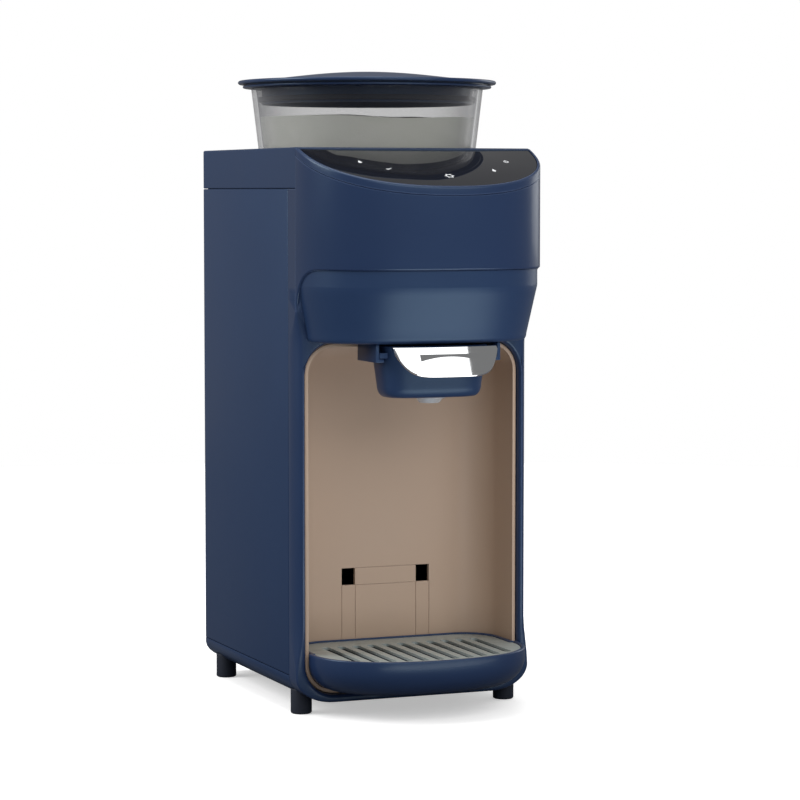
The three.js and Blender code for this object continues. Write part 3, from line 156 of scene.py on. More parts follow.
class FormulaBay(bpy.types.PropertyGroup):
    wall: length("Liner wall", 0.0026, "Thickness of the bay liner")
    corner: length("Liner corner", 0.0154, "Corner radius inside the liner")
    edge: length("Liner edge", 0.0009, "Rounding of the liner's front edge")
    bend: length("Liner bend", 0.019, "Radius where the liner's sides turn into its back")
    slot_spacing: length("Slot spacing", 0.0488, "Distance between the two square slots")
    slot_width: length("Slot width", 0.0088, "Width of a slot in the liner's back")
    slot_height: length("Slot height", 0.0105, "Height of a slot in the liner's back")
    slot_middle: length("Slot middle", 0.076, "Height of the middle of the slots")
    groove: length("Groove", 0.0006, "Width and depth of the grooves round the slots")
    tray_wall: length("Tray wall", 0.0022, "Thickness of the drip tray")
    tray_ledge: length("Tray ledge", 0.0018, "Ledge that carries the grid")
    tray_edge: length("Tray edge", 0.0165, "Rounding of the tray's lower edge")
    tray_rim: length("Tray rim", 0.0007, "Rounding of the tray's upper edge")
    tray_corner: length("Tray corner", 0.021, "Radius of the tray's back corners")
    grid_slots: IntProperty(name="Grid slots", default=11, min=3, description="Slots in the grid")
    grid_margin: length("Grid margin", 0.0190, "From the tray's side to the first slot")
    grid_slot: length("Grid slot", 0.0048, "Width of a slot in the grid")
    grid_front: length("Grid front", 0.008, "From the tray's front edge to the slots")
    grid_back: length("Grid back", 0.0240, "How far the slots run back past the frame's face")
    cup_half: length("Cup half width", 0.034, "Half width of the funnel's mouth")
    cup_sole_half: length("Cup sole half width", 0.031, "Half width of the funnel's foot")
    cup_depth: length("Cup depth", 0.043, "Depth of the funnel's mouth")
    cup_taper: length("Cup taper", 0.008, "How much less deep the funnel is at its foot")
    cup_edge: length("Cup edge", 0.007, "Rounding of the funnel's lower edge")
    cup_wall: length("Cup wall", 0.002, "Thickness of the funnel")
    cup_rim: length("Cup rim", 0.0005, "Rounding of the funnel's upper edge")
    cup_squash: FloatProperty(name="Cup squash", default=0.62,
                              description="Width of the funnel's lower rounding, as a part of its height")
    cup_power: FloatProperty(name="Cup power", default=3.0, description="Squareness of the funnel in plan")
    cup_hole: length("Cup hole", 0.0035, "Radius of the hole in the funnel's foot")
    tip_bore: length("Tip bore", 0.0032, "Radius of the bore of the funnel's tip")
    flange_low: length("Flange drop", 0.007, "From the funnel's mouth down to its flanges' lower side")
    flange_high: length("Flange top", 0.004, "From the funnel's mouth down to its flanges' upper side")
    handle_half: length("Handle half width", 0.0325, "Half width of the funnel's handle")
    handle_lean: length("Handle lean", 0.0085, "How far the handle's lower edge stands out")
    handle_bow: length("Handle bow", 0.0045, "How far the handle bows forward in its middle")
    handle_thick: length("Handle thickness", 0.0026, "Thickness of the handle's plate")
    neck_half: length("Neck half width", 0.018, "Half width of the neck between handle and funnel")
    neck_reach: length("Neck reach", 0.0052, "How far the neck reaches into the handle's bow")
    neck_rise: length("Neck rise", 0.0045, "Half the height of the neck")


class FormulaPanel(bpy.types.PropertyGroup):
    drop: length("Panel drop", 0.0232, "How much lower the panel's front edge lies than its back edge")
    rim_height: length("Rim height", 0.0048, "Height of the rim above its seam")
    rim_width: length("Rim width", 0.0016, "Width of the rim's upper edge")
    rim_ledge: length("Rim ledge", 0.003, "Ledge inside the rim that carries the glass")
    rim_edge: length("Rim edge", 0.0010, "Rounding of the rim's upper edge")
    rim_chamfer: length("Rim chamfer", 0.0002, "Chamfer of the rim's lower edge")
    recess: length("Glass recess", 0.0004, "How far the glass lies below the rim")
    glass: length("Glass thickness", 0.002, "Thickness of the glass")
    sign: length("Sign size", 0.0042, "Size of the touch signs")
    sign_line: length("Sign line", 0.0005, "Line width of the touch signs")
    sign_colour: colour("Sign colour", (0.86, 0.88, 0.90), "Colour of the touch signs")


class FormulaHopper(bpy.types.PropertyGroup):
    steps: IntProperty(name="Steps", default=160, min=48, description="Steps round the hopper and lid")
    wall: length("Hopper wall", 0.003, "Thickness of the hopper's wall")
    waist: length("Waist radius", high("hopper_base").x, "Radius of the hopper's lower end")
    edge: length("Hopper edge", 0.0009, "Rounding of the hopper's mouth")
    powder_top: length("Powder level", 0.3555, "Height of the powder's surface")
    powder_wave: length("Powder unevenness", 0.0012, "How far the powder's surface rises and falls")
    powder_gap: length("Powder gap", 0.0004, "Between the powder and the hopper's wall")
    powder_clear: length("Powder clearance", 0.0015, "Between the powder and what turns in it")
    lid_rim: length("Lid rim", 0.0044, "Height of the lid's rim")
    lid_dome: length("Lid dome", 0.0715, "Radius of the dome on the lid's disc")
    lid_lip: length("Lid lip", 0.0764, "Radius of the lip under the lid's disc")
    lid_groove: length("Lid groove", 0.0742, "Radius of the groove between the disc and the lip")
    lid_fall: FloatProperty(name="Lid fall", default=1.5, description="How softly the dome meets the disc")
    lid_disc: length("Lid disc", 0.0022, "Thickness of the disc at its edge")
    lid_edge: length("Lid edge", 0.0007, "Rounding of the lip under the lid's disc")
    lid_thick: length("Lid thickness", 0.0022, "Thickness of the lid")
    skirt: length("Skirt radius", 0.0648, "Outer radius of the lid's plug")
    skirt_depth: length("Skirt depth", 0.010, "How far the plug reaches into the hopper")
    plug_edge: length("Plug edge", 0.0005, "Chamfer of the plug's lower edges")
    plug_nick: length("Plug nick", 0.0006, "Chamfer in the corners where the plug meets the lid")


class FormulaStage(bpy.types.PropertyGroup):
    camera_place: FloatVectorProperty(name="Camera place", default=(-0.6456, -1.6156, 0.3110), size=3,
                                      subtype="TRANSLATION", description="Where the camera stands")
    camera_turn: FloatProperty(name="Camera turn", default=math.radians(22.212), subtype="ANGLE",
                               description="How far the camera looks round from the left")
    camera_pitch: FloatProperty(name="Camera pitch", default=math.radians(4.222), subtype="ANGLE",
                                description="How far the camera looks down")
    lens: FloatProperty(name="Lens", default=127.9, description="Focal length in millimetres")
    floor_size: length("Floor size", 1.5, "Radius of the floor")
    floor_colour: colour("Floor colour", (0.93, 0.925, 0.92), "Colour of the floor and backdrop")
    floor_lift: share("Floor lift", 0.44, "Light that the floor shows the camera by itself")
    floor_bounce: colour("Floor bounce", (0.13, 0.14, 0.16), "Colour of the floor as the object sees it")
    world_light: share("World light", 0.46, "Strength of the even light from all round")
    world_gloss: share("World gloss", 0.22, "Strength of the surroundings as glossy surfaces show them")


# Shapes

def placed(name, data):
    """A new object in the scene."""
    obj = bpy.data.objects.new(name, data)
    bpy.context.scene.collection.objects.link(obj)
    return obj


def ride(obj, body, slot, *nodes):
    """Gives a finished piece its finish, its CAD body and the CAD nodes that it stands for."""
    obj.data.materials.clear()
    obj.data.materials.append(finish(slot))
    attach(obj, body)
    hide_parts(*nodes)


def mesh_from(name, build, angle=38):
    """A new object from a bmesh: doubles merged, faces outwards, smooth but for its sharp edges."""
    bmesh.ops.remove_doubles(build, verts=build.verts, dist=1e-6)
    bmesh.ops.dissolve_degenerate(build, edges=build.edges, dist=1e-7)
    bmesh.ops.recalc_face_normals(build, faces=build.faces)
    mesh = bpy.data.meshes.new(name)
    build.to_mesh(mesh)
    build.free()
    smooth(mesh, angle)
    return placed(name, mesh)


def smooth(mesh, angle):
    mesh.shade_smooth()
    mesh.set_sharp_from_angle(angle=math.radians(angle))


def unpacked(obj):
    """A bmesh with an object's mesh. The object itself is taken away."""
    build = bmesh.new()
    build.from_mesh(obj.data)
    bpy.data.objects.remove(obj)
    return build


def add_grid(build, rows, closed_row=True, closed=False, capped=True):
    """Faces between rows of equal count. A closed grid joins its last row to its first."""
    made = [[build.verts.new(point) for point in row] for row in rows]
    count = len(rows[0])
    for r in range(len(rows) if closed else len(rows) - 1):
        here, there = made[r], made[(r + 1) % len(rows)]
        for i in range(count if closed_row else count - 1):
            j = (i + 1) % count
            build.faces.new((here[i], here[j], there[j], there[i]))
    if capped and not closed:
        build.faces.new(made[0])
        build.faces.new(made[-1])


def skin(name, rings, closed=False, angle=38):
    """A closed body skinned over rings, capped at both ends or joined into a loop."""
    build = bmesh.new()
    add_grid(build, rings, True, closed)
    return mesh_from(name, build, angle)


def lathe(name, profile, count, x=0.0, y=HOPPER_Y):
    """A body turned about an upright axis. A profile that starts on the axis also ends there."""
    rows = []
    for turn in whole_turn(count):
        rows.append([(x + radius * math.cos(turn), y + radius * math.sin(turn), z) for radius, z in profile])
    build = bmesh.new()
    add_grid(build, rows, profile[0][0] != 0, True)
    return mesh_from(name, build)


def cube(build, lows, highs):
    """Adds a box between two of its corners, which may be given either way round."""
    size = [abs(high_side - low_side) for low_side, high_side in zip(lows, highs)]
    centre = [(low_side + high_side) / 2 for low_side, high_side in zip(lows, highs)]
    bmesh.ops.create_cube(build, size=1, matrix=Matrix.Translation(centre) @ Matrix.Diagonal((*size, 1)))


def drill(build, radius, x, y, z):
    """Adds an upright rod to cut a hole with."""
    bmesh.ops.create_cone(build, segments=48, radius1=radius, radius2=radius, depth=0.02, cap_ends=True,
                          matrix=Matrix.Translation((x, y, z)))


def bored(obj, build, angle):
    """Cuts the shapes of a bmesh out of an object."""
    cutter = mesh_from("cutter", build)
    cut = obj.modifiers.new("Cut", "BOOLEAN")
    cut.operation, cut.solver, cut.object, cut.use_self = "DIFFERENCE", "EXACT", cutter, True
    settled(obj, angle)
    bpy.data.objects.remove(cutter)
    return obj


def settled(obj, angle=38):
    """Applies an object's modifiers, leaving a plain mesh."""
    graph = bpy.context.evaluated_depsgraph_get()
    graph.update()
    mesh = bpy.data.meshes.new_from_object(obj.evaluated_get(graph), depsgraph=graph)
    obj.modifiers.clear()
    obj.data = mesh
    smooth(mesh, angle)


def refined(name, node, edge, segments=2):
    """A copy of a CAD node with merged faces and small rounded edges."""
    build = bmesh.new()
    build.from_mesh(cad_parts[node].data)
    bmesh.ops.remove_doubles(build, verts=build.verts, dist=1e-6)
    bmesh.ops.dissolve_limit(build, angle_limit=math.radians(0.5), verts=build.verts, edges=build.edges)
    obj = mesh_from(name, build)
    if edge:
        bevel = obj.modifiers.new("Edges", "BEVEL")
        bevel.width, bevel.segments, bevel.limit_method = edge, segments, "ANGLE"
        bevel.angle_limit, bevel.use_clamp_overlap = math.radians(35), True
        settled(obj)
    return obj


def dress(name, node, slot, edge=FINE_EDGE, body="housing", segments=2):
    """A piece that keeps the form of its CAD node, but for rounded edges."""
    ride(refined(name, node, edge, segments), body, slot, node)


def turn_steps(count, start=0.0, end=QUARTER):
    return [start + (end - start) * i / count for i in range(count + 1)]


def whole_turn(count):
    return [FULL_TURN * i / count for i in range(count)]


def rounding(radius, count, end=QUARTER):
    """Steps along a rounded edge: how far in from the side it starts on, and how far short of its end."""
    return [(radius * (1 - math.cos(turn)), radius * (1 - math.sin(turn)))
            for turn in turn_steps(count, 0, end)]


def at_height(points, z):
    """Points of a plan, laid at a height."""
    return [(x, y, z) for x, y in points]


def at_depth(points, y):
    """Points of a front view, set at a depth."""
    return [(x, y, z) for x, z in points]


def circle(radius, count, y=0.0):
    return [(radius * math.cos(turn), y + radius * math.sin(turn)) for turn in whole_turn(count)]


def half_oval(across, reach, power, params):
    """Points from +X round the front to -X, bulging forward from the frame's face."""
    points = []
    for turn in params:
        c, s = math.cos(turn), max(math.sin(turn), 0.0)
        x = across * math.copysign(abs(c) ** (2 / power), c)
        points.append((x, FACE_Y - reach * s ** (2 / power)))
    return points


def rounded_box(half, bottom, top, radius, steps):
    """A rounded rectangle about x = 0, anticlockwise from the lower right corner."""
    points = []
    for x, z, start in ((half - radius, bottom + radius, -QUARTER), (half - radius, top - radius, 0),
                        (radius - half, top - radius, QUARTER), (radius - half, bottom + radius, math.pi)):
        for turn in turn_steps(steps, start, start + QUARTER):
            points.append((x + radius * math.cos(turn), z + radius * math.sin(turn)))
    return points


def back_corner(x, start, back, corner, steps):
    """A corner at the back of a plan, with its middle at this x."""
    return [(x + corner * math.cos(turn), back - corner + corner * math.sin(turn))
            for turn in turn_steps(steps, start, start + QUARTER)]


# Finishes

made_finishes = {}


def give(tree, socket, value):
    """Links a socket to another one, or sets its value."""
    if isinstance(value, bpy.types.NodeSocket):
        tree.links.new(value, socket)
    else:
        socket.default_value = value


def feed(tree, node, **values):
    """Gives a node's inputs by name, with _ for a space."""
    for name, value in values.items():
        give(tree, node.inputs[name.replace("_", " ")], value)
    return node


def new_node(tree, kind, **values):
    return feed(tree, tree.nodes.new(kind), **values)


def object_coords(tree):
    return tree.nodes.new("ShaderNodeTexCoord").outputs["Object"]


def noise(tree, coords, scale, detail=2.0, rough=0.5):
    node = new_node(tree, "ShaderNodeTexNoise", Vector=coords, Scale=scale, Detail=detail, Roughness=rough)
    return node.outputs["Fac"]


def maths(tree, operation, *values, kind="ShaderNodeMath", output=0):
    node = tree.nodes.new(kind)
    node.operation = operation
    for socket, value in zip(node.inputs, values):
        give(tree, socket, value)
    return node.outputs[output]


def combined(tree, *values):
    """A vector from three numbers or sockets."""
    node = tree.nodes.new("ShaderNodeCombineXYZ")
    for socket, value in zip(node.inputs, values):
        give(tree, socket, value)
    return node.outputs["Vector"]


def node_group(name, inputs, outputs):
    """A new shader group with named sockets. Gives back the group, its inputs and its output node."""
    group = bpy.data.node_groups.new(name, "ShaderNodeTree")
    for socket, value in inputs.items():
        made = group.interface.new_socket(socket, in_out="INPUT", socket_type="NodeSocketFloat")
        made.default_value = value
    for socket in outputs:
        group.interface.new_socket(socket, in_out="OUTPUT", socket_type="NodeSocketFloat")
    return group, group.nodes.new("NodeGroupInput").outputs, group.nodes.new("NodeGroupOutput")


def moulded_group(name):
    """Fine grain of a moulded surface, with slow changes of gloss and a few specks."""
    group, given, out = node_group(name, {"Grain": 900.0, "Patches": 14.0}, ("Height", "Patch", "Speck"))
    coords = object_coords(group)
    cells = new_node(group, "ShaderNodeTexVoronoi", Vector=coords, Scale=420.0)
    feed(group, out, Height=noise(group, coords, given["Grain"], 3.0, 0.6),
         Patch=noise(group, coords, given["Patches"], 3.0, 0.55),
         Speck=maths(group, "LESS_THAN", cells.outputs["Distance"], 0.07))
    return group


def edge_wear_and_highlight_group(name):
    """A mask along outer edges, broken up by noise. It lightens the edges of moulded finishes, partly as wear
    and partly as a painted highlight.
    """
    group, given, out = node_group(name, {"Radius": 0.0008, "Amount": 1.0}, ["Mask"])
    bevel = new_node(group, "ShaderNodeBevel", Radius=given["Radius"])
    bevel.samples = 4
    geometry = group.nodes.new("ShaderNodeNewGeometry")
    straight = maths(group, "DOT_PRODUCT", bevel.outputs["Normal"], geometry.outputs["Normal"],
                     kind="ShaderNodeVectorMath", output="Value")
    bent = maths(group, "MULTIPLY", maths(group, "SUBTRACT", 1.0, straight), 5.0)
    broken = maths(group, "ADD", noise(group, object_coords(group), 260.0, 4.0), 0.35)
    mask = maths(group, "MULTIPLY", maths(group, "MULTIPLY", bent, broken), given["Amount"])
    feed(group, out, Mask=maths(group, "MINIMUM", mask, 1.0))
    return group


def brushed_group(name):
    """Long fine streaks along one direction, for brushed or drawn metal."""
    group, given, out = node_group(name, {"Across": 2400.0, "Along": 30.0}, ("Height", "Streak"))
    scale = combined(group, given["Along"], given["Across"], given["Across"])
    stretched = maths(group, "MULTIPLY", object_coords(group), scale,
                      kind="ShaderNodeVectorMath", output="Vector")
    feed(group, out, Height=noise(group, stretched, 1.0), Streak=noise(group, stretched, 0.23))
    return group


def shared(tree, name, maker, **values):
    """A shared group in a tree. It is made the first time it is asked for."""
    node = tree.nodes.new("ShaderNodeGroup")
    node.node_tree = bpy.data.node_groups.get(name) or maker(name)
    return feed(tree, node, **values).outputs


def grain_of(tree, **values):
    return shared(tree, "Moulded grain", moulded_group, **values)


def between(tree, mask, first, second, blend="MIX"):
    """A colour that goes from first to second with the mask."""
    mix = tree.nodes.new("ShaderNodeMix")
    mix.data_type, mix.blend_type = "RGBA", blend
    feed(tree, mix, Factor=mask, A=opaque(first), B=opaque(second))
    return mix.outputs["Result"]


def opaque(tint):
    """A colour with its alpha. A socket stays as it is."""
    return tint if isinstance(tint, bpy.types.NodeSocket) else (*tint, 1)


def spread(tree, value, from_low, from_high, to_low, to_high):
    """Carries a value smoothly from one range to another."""
    node = tree.nodes.new("ShaderNodeMapRange")
    node.interpolation_type = "SMOOTHSTEP"
    return feed(tree, node, Value=value, From_Min=from_low, From_Max=from_high,
                To_Min=to_low, To_Max=to_high).outputs["Result"]


def shaded(tree, tint, patch):
    """A colour with a trace of light and dark patches."""
    return between(tree, 1.0, tint, spread(tree, patch, 0.2, 0.8, 0.97, 1.03), "MULTIPLY")


def bumped(tree, shader, height, strength, distance):
    bump = new_node(tree, "ShaderNodeBump", Strength=strength, Distance=distance, Height=height)
    tree.links.new(bump.outputs["Normal"], shader.inputs["Normal"])


def blank(name):
    """A new material, its node tree and its Principled shader."""
    made = bpy.data.materials.new(name)
    made.use_nodes = True
    return made, made.node_tree, made.node_tree.nodes["Principled BSDF"]


def moulded(name, base, worn_and_highlit, rough, grain=900.0, bump=0.10, coat=0.0, sheen_range=0.06, edge=0.0008,
            metallic=0.0, tint=(1.0, 1.0, 1.0)):
    """Moulded plastic, rubber or paint: grain, patches of gloss, specks, and edges lightened towards a second
    colour, partly as wear and partly as a painted highlight.
    """
    made, tree, shader = blank(name)
    cast = grain_of(tree, Grain=grain)
    # Edges go towards the second colour: partly wear, partly a painted highlight along edges and seams
    wear_and_highlight = shared(tree, "Edge wear", edge_wear_and_highlight_group, Radius=edge, Amount=0.7)
    gloss = spread(tree, cast["Patch"], 0.3, 0.7, rough - sheen_range, rough + sheen_range)
    feed(tree, shader, Base_Color=shaded(tree, between(tree, wear_and_highlight["Mask"], base, worn_and_highlit), cast["Patch"]),
         Roughness=maths(tree, "ADD", gloss, maths(tree, "MULTIPLY", cast["Speck"], 0.03)),
         Metallic=metallic, Coat_Weight=coat, Coat_Roughness=0.12, Specular_Tint=(*tint, 1.0))
    bumped(tree, shader, cast["Height"], bump, 0.00005)
    return made


def brushed(name, base, dark, rough, metallic):
    """Brushed or drawn metal."""
    made, tree, shader = blank(name)
    streaks = shared(tree, "Brushed streaks", brushed_group, Along=30.0)
    tone = spread(tree, streaks["Streak"], 0.3, 0.7, 0.0, 1.0)
    feed(tree, shader, Base_Color=between(tree, tone, base, dark), Metallic=metallic,
         Roughness=spread(tree, streaks["Streak"], 0.3, 0.7, rough * 0.75, rough * 1.3))
    bumped(tree, shader, streaks["Height"], 0.12, 0.00004)
    return made


def polished(name, base, rough):
    """Plated metal with a trace of smears."""
    made, tree, shader = blank(name)
    cast = grain_of(tree, Grain=160.0, Patches=60.0)
    feed(tree, shader, Base_Color=between(tree, cast["Patch"], base, [tone * 0.95 for tone in base]),
         Roughness=spread(tree, cast["Patch"], 0.35, 0.7, rough, rough * 2.2), Metallic=1.0)
    bumped(tree, shader, cast["Height"], 0.03, 0.00003)
    return made


def clear(name, base, rim, rough, alpha_face, alpha_edge):
    """Thin translucent plastic that closes up and grows lighter towards its edges."""
    made, tree, shader = blank(name)
    cast = grain_of(tree, Grain=700.0, Patches=22.0)
    facing = new_node(tree, "ShaderNodeLayerWeight", Blend=0.25).outputs["Facing"]
    feed(tree, shader, Base_Color=shaded(tree, between(tree, facing, base, rim), cast["Patch"]),
         Roughness=spread(tree, cast["Patch"], 0.3, 0.7, rough * 0.8, rough * 1.3),
         Alpha=spread(tree, facing, 0.0, 1.0, alpha_face, alpha_edge))
    bumped(tree, shader, cast["Height"], 0.02, 0.00003)
    return made


def black_glass(name):
    made, tree, shader = blank(name)
    cast = grain_of(tree, Grain=120.0, Patches=25.0)
    feed(tree, shader, Base_Color=between(tree, cast["Patch"], (0.010, 0.011, 0.015), (0.014, 0.015, 0.020)),
         Roughness=spread(tree, cast["Patch"], 0.35, 0.7, 0.02, 0.04), IOR=1.9)
    return made


def circuit_board(name):
    """A green board with the lines of its tracks."""
    made, tree, shader = blank(name)
    tracks = new_node(tree, "ShaderNodeTexBrick", Vector=object_coords(tree), Scale=130.0,
                      Mortar_Size=0.03).outputs["Fac"]
    cast = grain_of(tree, Grain=500.0)
    feed(tree, shader, Base_Color=between(tree, tracks, (0.012, 0.085, 0.035), (0.05, 0.19, 0.07)),
         Roughness=spread(tree, cast["Patch"], 0.3, 0.7, 0.3, 0.45))
    bumped(tree, shader, tracks, 0.2, 0.00005)
    return made


def sign_print(name):
    """The light print of the touch signs."""
    made, tree, shader = blank(name)
    base = tuple(bpy.context.scene.formula_panel.sign_colour)
    cast = grain_of(tree, Grain=1500.0)
    feed(tree, shader, Base_Color=between(tree, cast["Height"], base, [tone * 0.92 for tone in base]),
         Roughness=0.5)
    return made


def powder(name):
    """Fine dry powder with soft lumps."""
    made, tree, shader = blank(name)
    coords = object_coords(tree)
    lumps, crumbs = noise(tree, coords, 55.0, 5.0, 0.6), noise(tree, coords, 700.0, 4.0, 0.7)
    tone = spread(tree, lumps, 0.3, 0.7, 0.0, 1.0)
    feed(tree, shader, Base_Color=between(tree, tone, (0.89, 0.90, 0.81), (0.95, 0.95, 0.87)), Roughness=0.95)
    bumped(tree, shader, maths(tree, "ADD", lumps, crumbs), 0.5, 0.0006)
    return made


# For each finish the function that makes it, its colours and other values, and its options
NAVY_SHEEN = {"tint": (0.62, 0.86, 1.0), "sheen_range": 0.02}
FINISHES = {
    # The second colour of a moulded finish is laid along its edges. For navy_gloss it is a painted highlight
    # on the hood's lip, the bay's edge and the rim. For navy_satin it is kept dim, with a trace of painted
    # highlight as well as wear.
    "navy_gloss": (moulded, ((0.0150, 0.0310, 0.0860), (0.085, 0.125, 0.235), 0.32),
                   {"bump": 0.06, "coat": 0.15, "edge": 0.0011, **NAVY_SHEEN}),
    "navy_satin": (moulded, ((0.0160, 0.0350, 0.0930), (0.030, 0.052, 0.125), 0.38), NAVY_SHEEN),
    "taupe": (moulded, ((0.47, 0.345, 0.255), (0.56, 0.43, 0.33), 0.46), {"grain": 1100.0, "bump": 0.14}),
    "black_glass": (black_glass, (), {}),
    "steel": (brushed, ((0.50, 0.56, 0.55), (0.42, 0.48, 0.47), 0.46, 0.45), {}),
    "chrome": (polished, ((0.80, 0.81, 0.82), 0.035), {}),
    "frosted": (clear, ((0.045, 0.045, 0.050), (0.62, 0.62, 0.64), 0.12, 0.165, 0.80), {}),
    "clear_tip": (clear, ((0.62, 0.66, 0.70), (0.75, 0.78, 0.80), 0.12, 0.45, 0.85), {}),
    "smoke": (clear, ((0.16, 0.18, 0.21), (0.22, 0.24, 0.28), 0.14, 0.62, 0.92), {}),
    "rubber": (moulded, ((0.014, 0.019, 0.034), (0.04, 0.045, 0.06), 0.70), {"grain": 700.0, "bump": 0.3}),
    "silicone": (moulded, ((0.60, 0.60, 0.57), (0.70, 0.70, 0.68), 0.45), {"grain": 600.0}),
    "board": (circuit_board, (), {}),
    "alloy": (moulded, ((0.42, 0.43, 0.44), (0.62, 0.63, 0.64), 0.42),
              {"grain": 350.0, "bump": 0.35, "metallic": 1.0}),
    "black_plastic": (moulded, ((0.014, 0.015, 0.017), (0.05, 0.05, 0.055), 0.48),
                      {"grain": 600.0, "bump": 0.22}),
    "nylon": (moulded, ((0.72, 0.70, 0.65), (0.80, 0.79, 0.75), 0.42), {"grain": 500.0}),
    "powder": (powder, (), {}),
    "sign_print": (sign_print, (), {}),
}


def finish(slot):
    """The material of a slot, made the first time it is asked for."""
    if slot not in made_finishes:
        maker, values, options = FINISHES[slot]
        made_finishes[slot] = maker(slot, *values, **options)
    return made_finishes[slot]


# Forms shared by more than one piece

def panel_plane(y):
    """Height of the slanting panel's plane."""
    return TOP_Z + bpy.context.scene.formula_panel.drop / HOOD_REACH * (y - FACE_Y)


def hood_edge(y):
    """Height of the hood's lower edge, which turns down into the frame."""
    size = bpy.context.scene.formula_housing
    fillet = size.hood_fillet
    back = min(max(y - (FACE_Y - fillet), 0), fillet)
    return TOP_Z - size.hood_height - fillet + math.sqrt(fillet ** 2 - back ** 2)


def hood_params():
    """Turns along the hood's curve, closer where its lower edge drops."""
    size = bpy.context.scene.formula_housing
    side = [math.asin((depth / HOOD_REACH) ** (size.hood_power / 2))
            for _, depth in reversed(rounding(size.hood_fillet, 14))]
    rest = turn_steps(size.steps, side[-1], math.pi - side[-1])[1:-1]
    return side + rest + [math.pi - turn for turn in reversed(side)]


def hood_plan(side_inset, front_inset):
    """The hood's curve in plan, inset at its sides and its front."""
    power = bpy.context.scene.formula_housing.hood_power
    return half_oval(HALF_WIDTH - side_inset, HOOD_REACH - front_inset, power, hood_params())


def across_back(left, right, steps=24):
    """Places across a ring's flat back, without its ends."""
    return [left + (right - left) * i / steps for i in range(1, steps)]


def hood_ring(side_inset, front_inset, level, back):
    """A closed ring with the hood's plan, flat at the back. The level is a function of y."""
    points = [(x, min(y, back)) for x, y in hood_plan(side_inset, front_inset)]
    points += [(x, back) for x in across_back(points[-1][0], points[0][0])]
    return [(x, y, level(y)) for x, y in points]


def body_outline(inset, top):
    """The housing's outline seen from the front, with curved lower corners. Inset is a function of z."""
    size = bpy.context.scene.formula_housing
    wide, tall = size.curve_width, size.curve_height
    base, run = inset(FLOOR_Z), HALF_WIDTH - size.curve_width
    points = []
    for sign, start in ((-1, math.pi), (1, math.pi * 1.5)):
        for turn in turn_steps(14, start, start + QUARTER):
            points.append((sign * run + (wide - base) * math.cos(turn),
                           FLOOR_Z + tall + (tall - base) * math.sin(turn)))
        if sign < 0:
            points += [(x, FLOOR_Z + base) for x in across_back(-run, run, 20)]
    rises = [FLOOR_Z + tall + (top - FLOOR_Z - tall) * i / 40 for i in range(1, 41)]
    right = [(HALF_WIDTH - inset(z), z) for z in rises]
    points += right + [(x, top) for x in across_back(HALF_WIDTH, -HALF_WIDTH)]
    return points + [(-x, z) for x, z in reversed(right)]


def bay_match(outline, grow):
    """For each point of an outline, the point of the bay's opening that lies towards its middle."""
    bottom, top = BAY_LOW - grow, BAY_HIGH + grow
    radius = bpy.context.scene.formula_housing.bay_corner + grow
    shape = rounded_box(BAY_HALF + grow, bottom, top, radius, 16)
    edges = list(zip(shape, shape[1:] + shape[:1]))
    centre = (bottom + top) / 2
    points = []
    for x, z in outline:
        way = (x, z - centre)
        for (x0, z0), (x1, z1) in edges:
            run = (x1 - x0, z1 - z0)
            across = way[0] * run[1] - way[1] * run[0]
            if abs(across) < 1e-15:
                continue
            out = (x0 * run[1] - (z0 - centre) * run[0]) / across
            along = (x0 * way[1] - (z0 - centre) * way[0]) / across
            if out > 0 and -1e-9 <= along <= 1 + 1e-9:
                points.append((out * way[0], centre + out * way[1]))
                break
        else:
            raise RuntimeError("the bay's opening has no point towards the outline")
    return points


def eased(part):
    """A part from 0 to 1 with a soft start and end."""
    part = min(max(part, 0), 1)
    return part * part * (3 - 2 * part)


def add_frame(build):
    """The frame round the bay, with its rounded outer edges."""
    size = bpy.context.scene.formula_housing
    top, edge = BAND_LOW - GAP, size.seam_edge
    edge_z = TOP_Z - size.hood_height - size.hood_fillet

    def corner(z, full):
        """The corner's rounding at a height. It fades to the lip under the hood and at the foot."""
        if z > edge_z:
            return 0.0
        foot = eased((z - FLOOR_Z - size.curve_height) / size.corner_foot)
        return size.lip + (full - size.lip) * eased((edge_z - z) / (edge_z - size.corner_low)) * foot

    plain = body_outline(lambda z: 0.0, top)
    rings = [at_depth(body_outline(lambda z: edge, top), SEAM_Y), at_depth(plain, SEAM_Y - edge)]
    for inward, forward in rounding(1, 7):
        shifted = body_outline(lambda z: corner(z, size.corner) * inward, top)
        rings.append([(x, FACE_Y + corner(nominal, size.corner_deep) * forward, z)
                      for (x, z), (_, nominal) in zip(shifted, plain)])
    face = [(x, z) for x, _, z in rings[-1]]
    for deep, grow in rounding(1, 5):
        rings.append(at_depth(bay_match(face, size.mouth_edge * grow), FACE_Y + size.mouth_deep * deep))
    rings.append(at_depth(bay_match(face, 0), SEAM_Y))
    add_grid(build, rings, True, True)


def add_hood(build):
    """The hood's wall, with a rounded lip along its lower edge."""
    size = bpy.context.scene.formula_housing
    edge = size.seam_edge * 0.6
    drop = bpy.context.scene.formula_panel.rim_height + GAP / 2
    outline = hood_plan(0, 0)
    outward = []
    for _, y in outline:
        back = min(max((y - FACE_Y) / size.hood_fillet + 1, 0), 1)
        outward.append((back, math.sqrt(1 - back * back)))

    def upper(inset, below):
        return [(x, y, panel_plane(y) - drop - below) for x, y in hood_plan(inset, inset)]

    rows = [upper(edge, 0), upper(0, edge)]
    for inset, out in rounding(size.lip, 8, math.pi):
        rows.append([(x, y + out * back, hood_edge(outer_y) + out * up)
                     for (x, y), (_, outer_y), (back, up) in zip(hood_plan(inset, inset), outline, outward)])
    rows.append(upper(2 * size.lip, 0))
    add_grid(build, list(zip(*rows)))


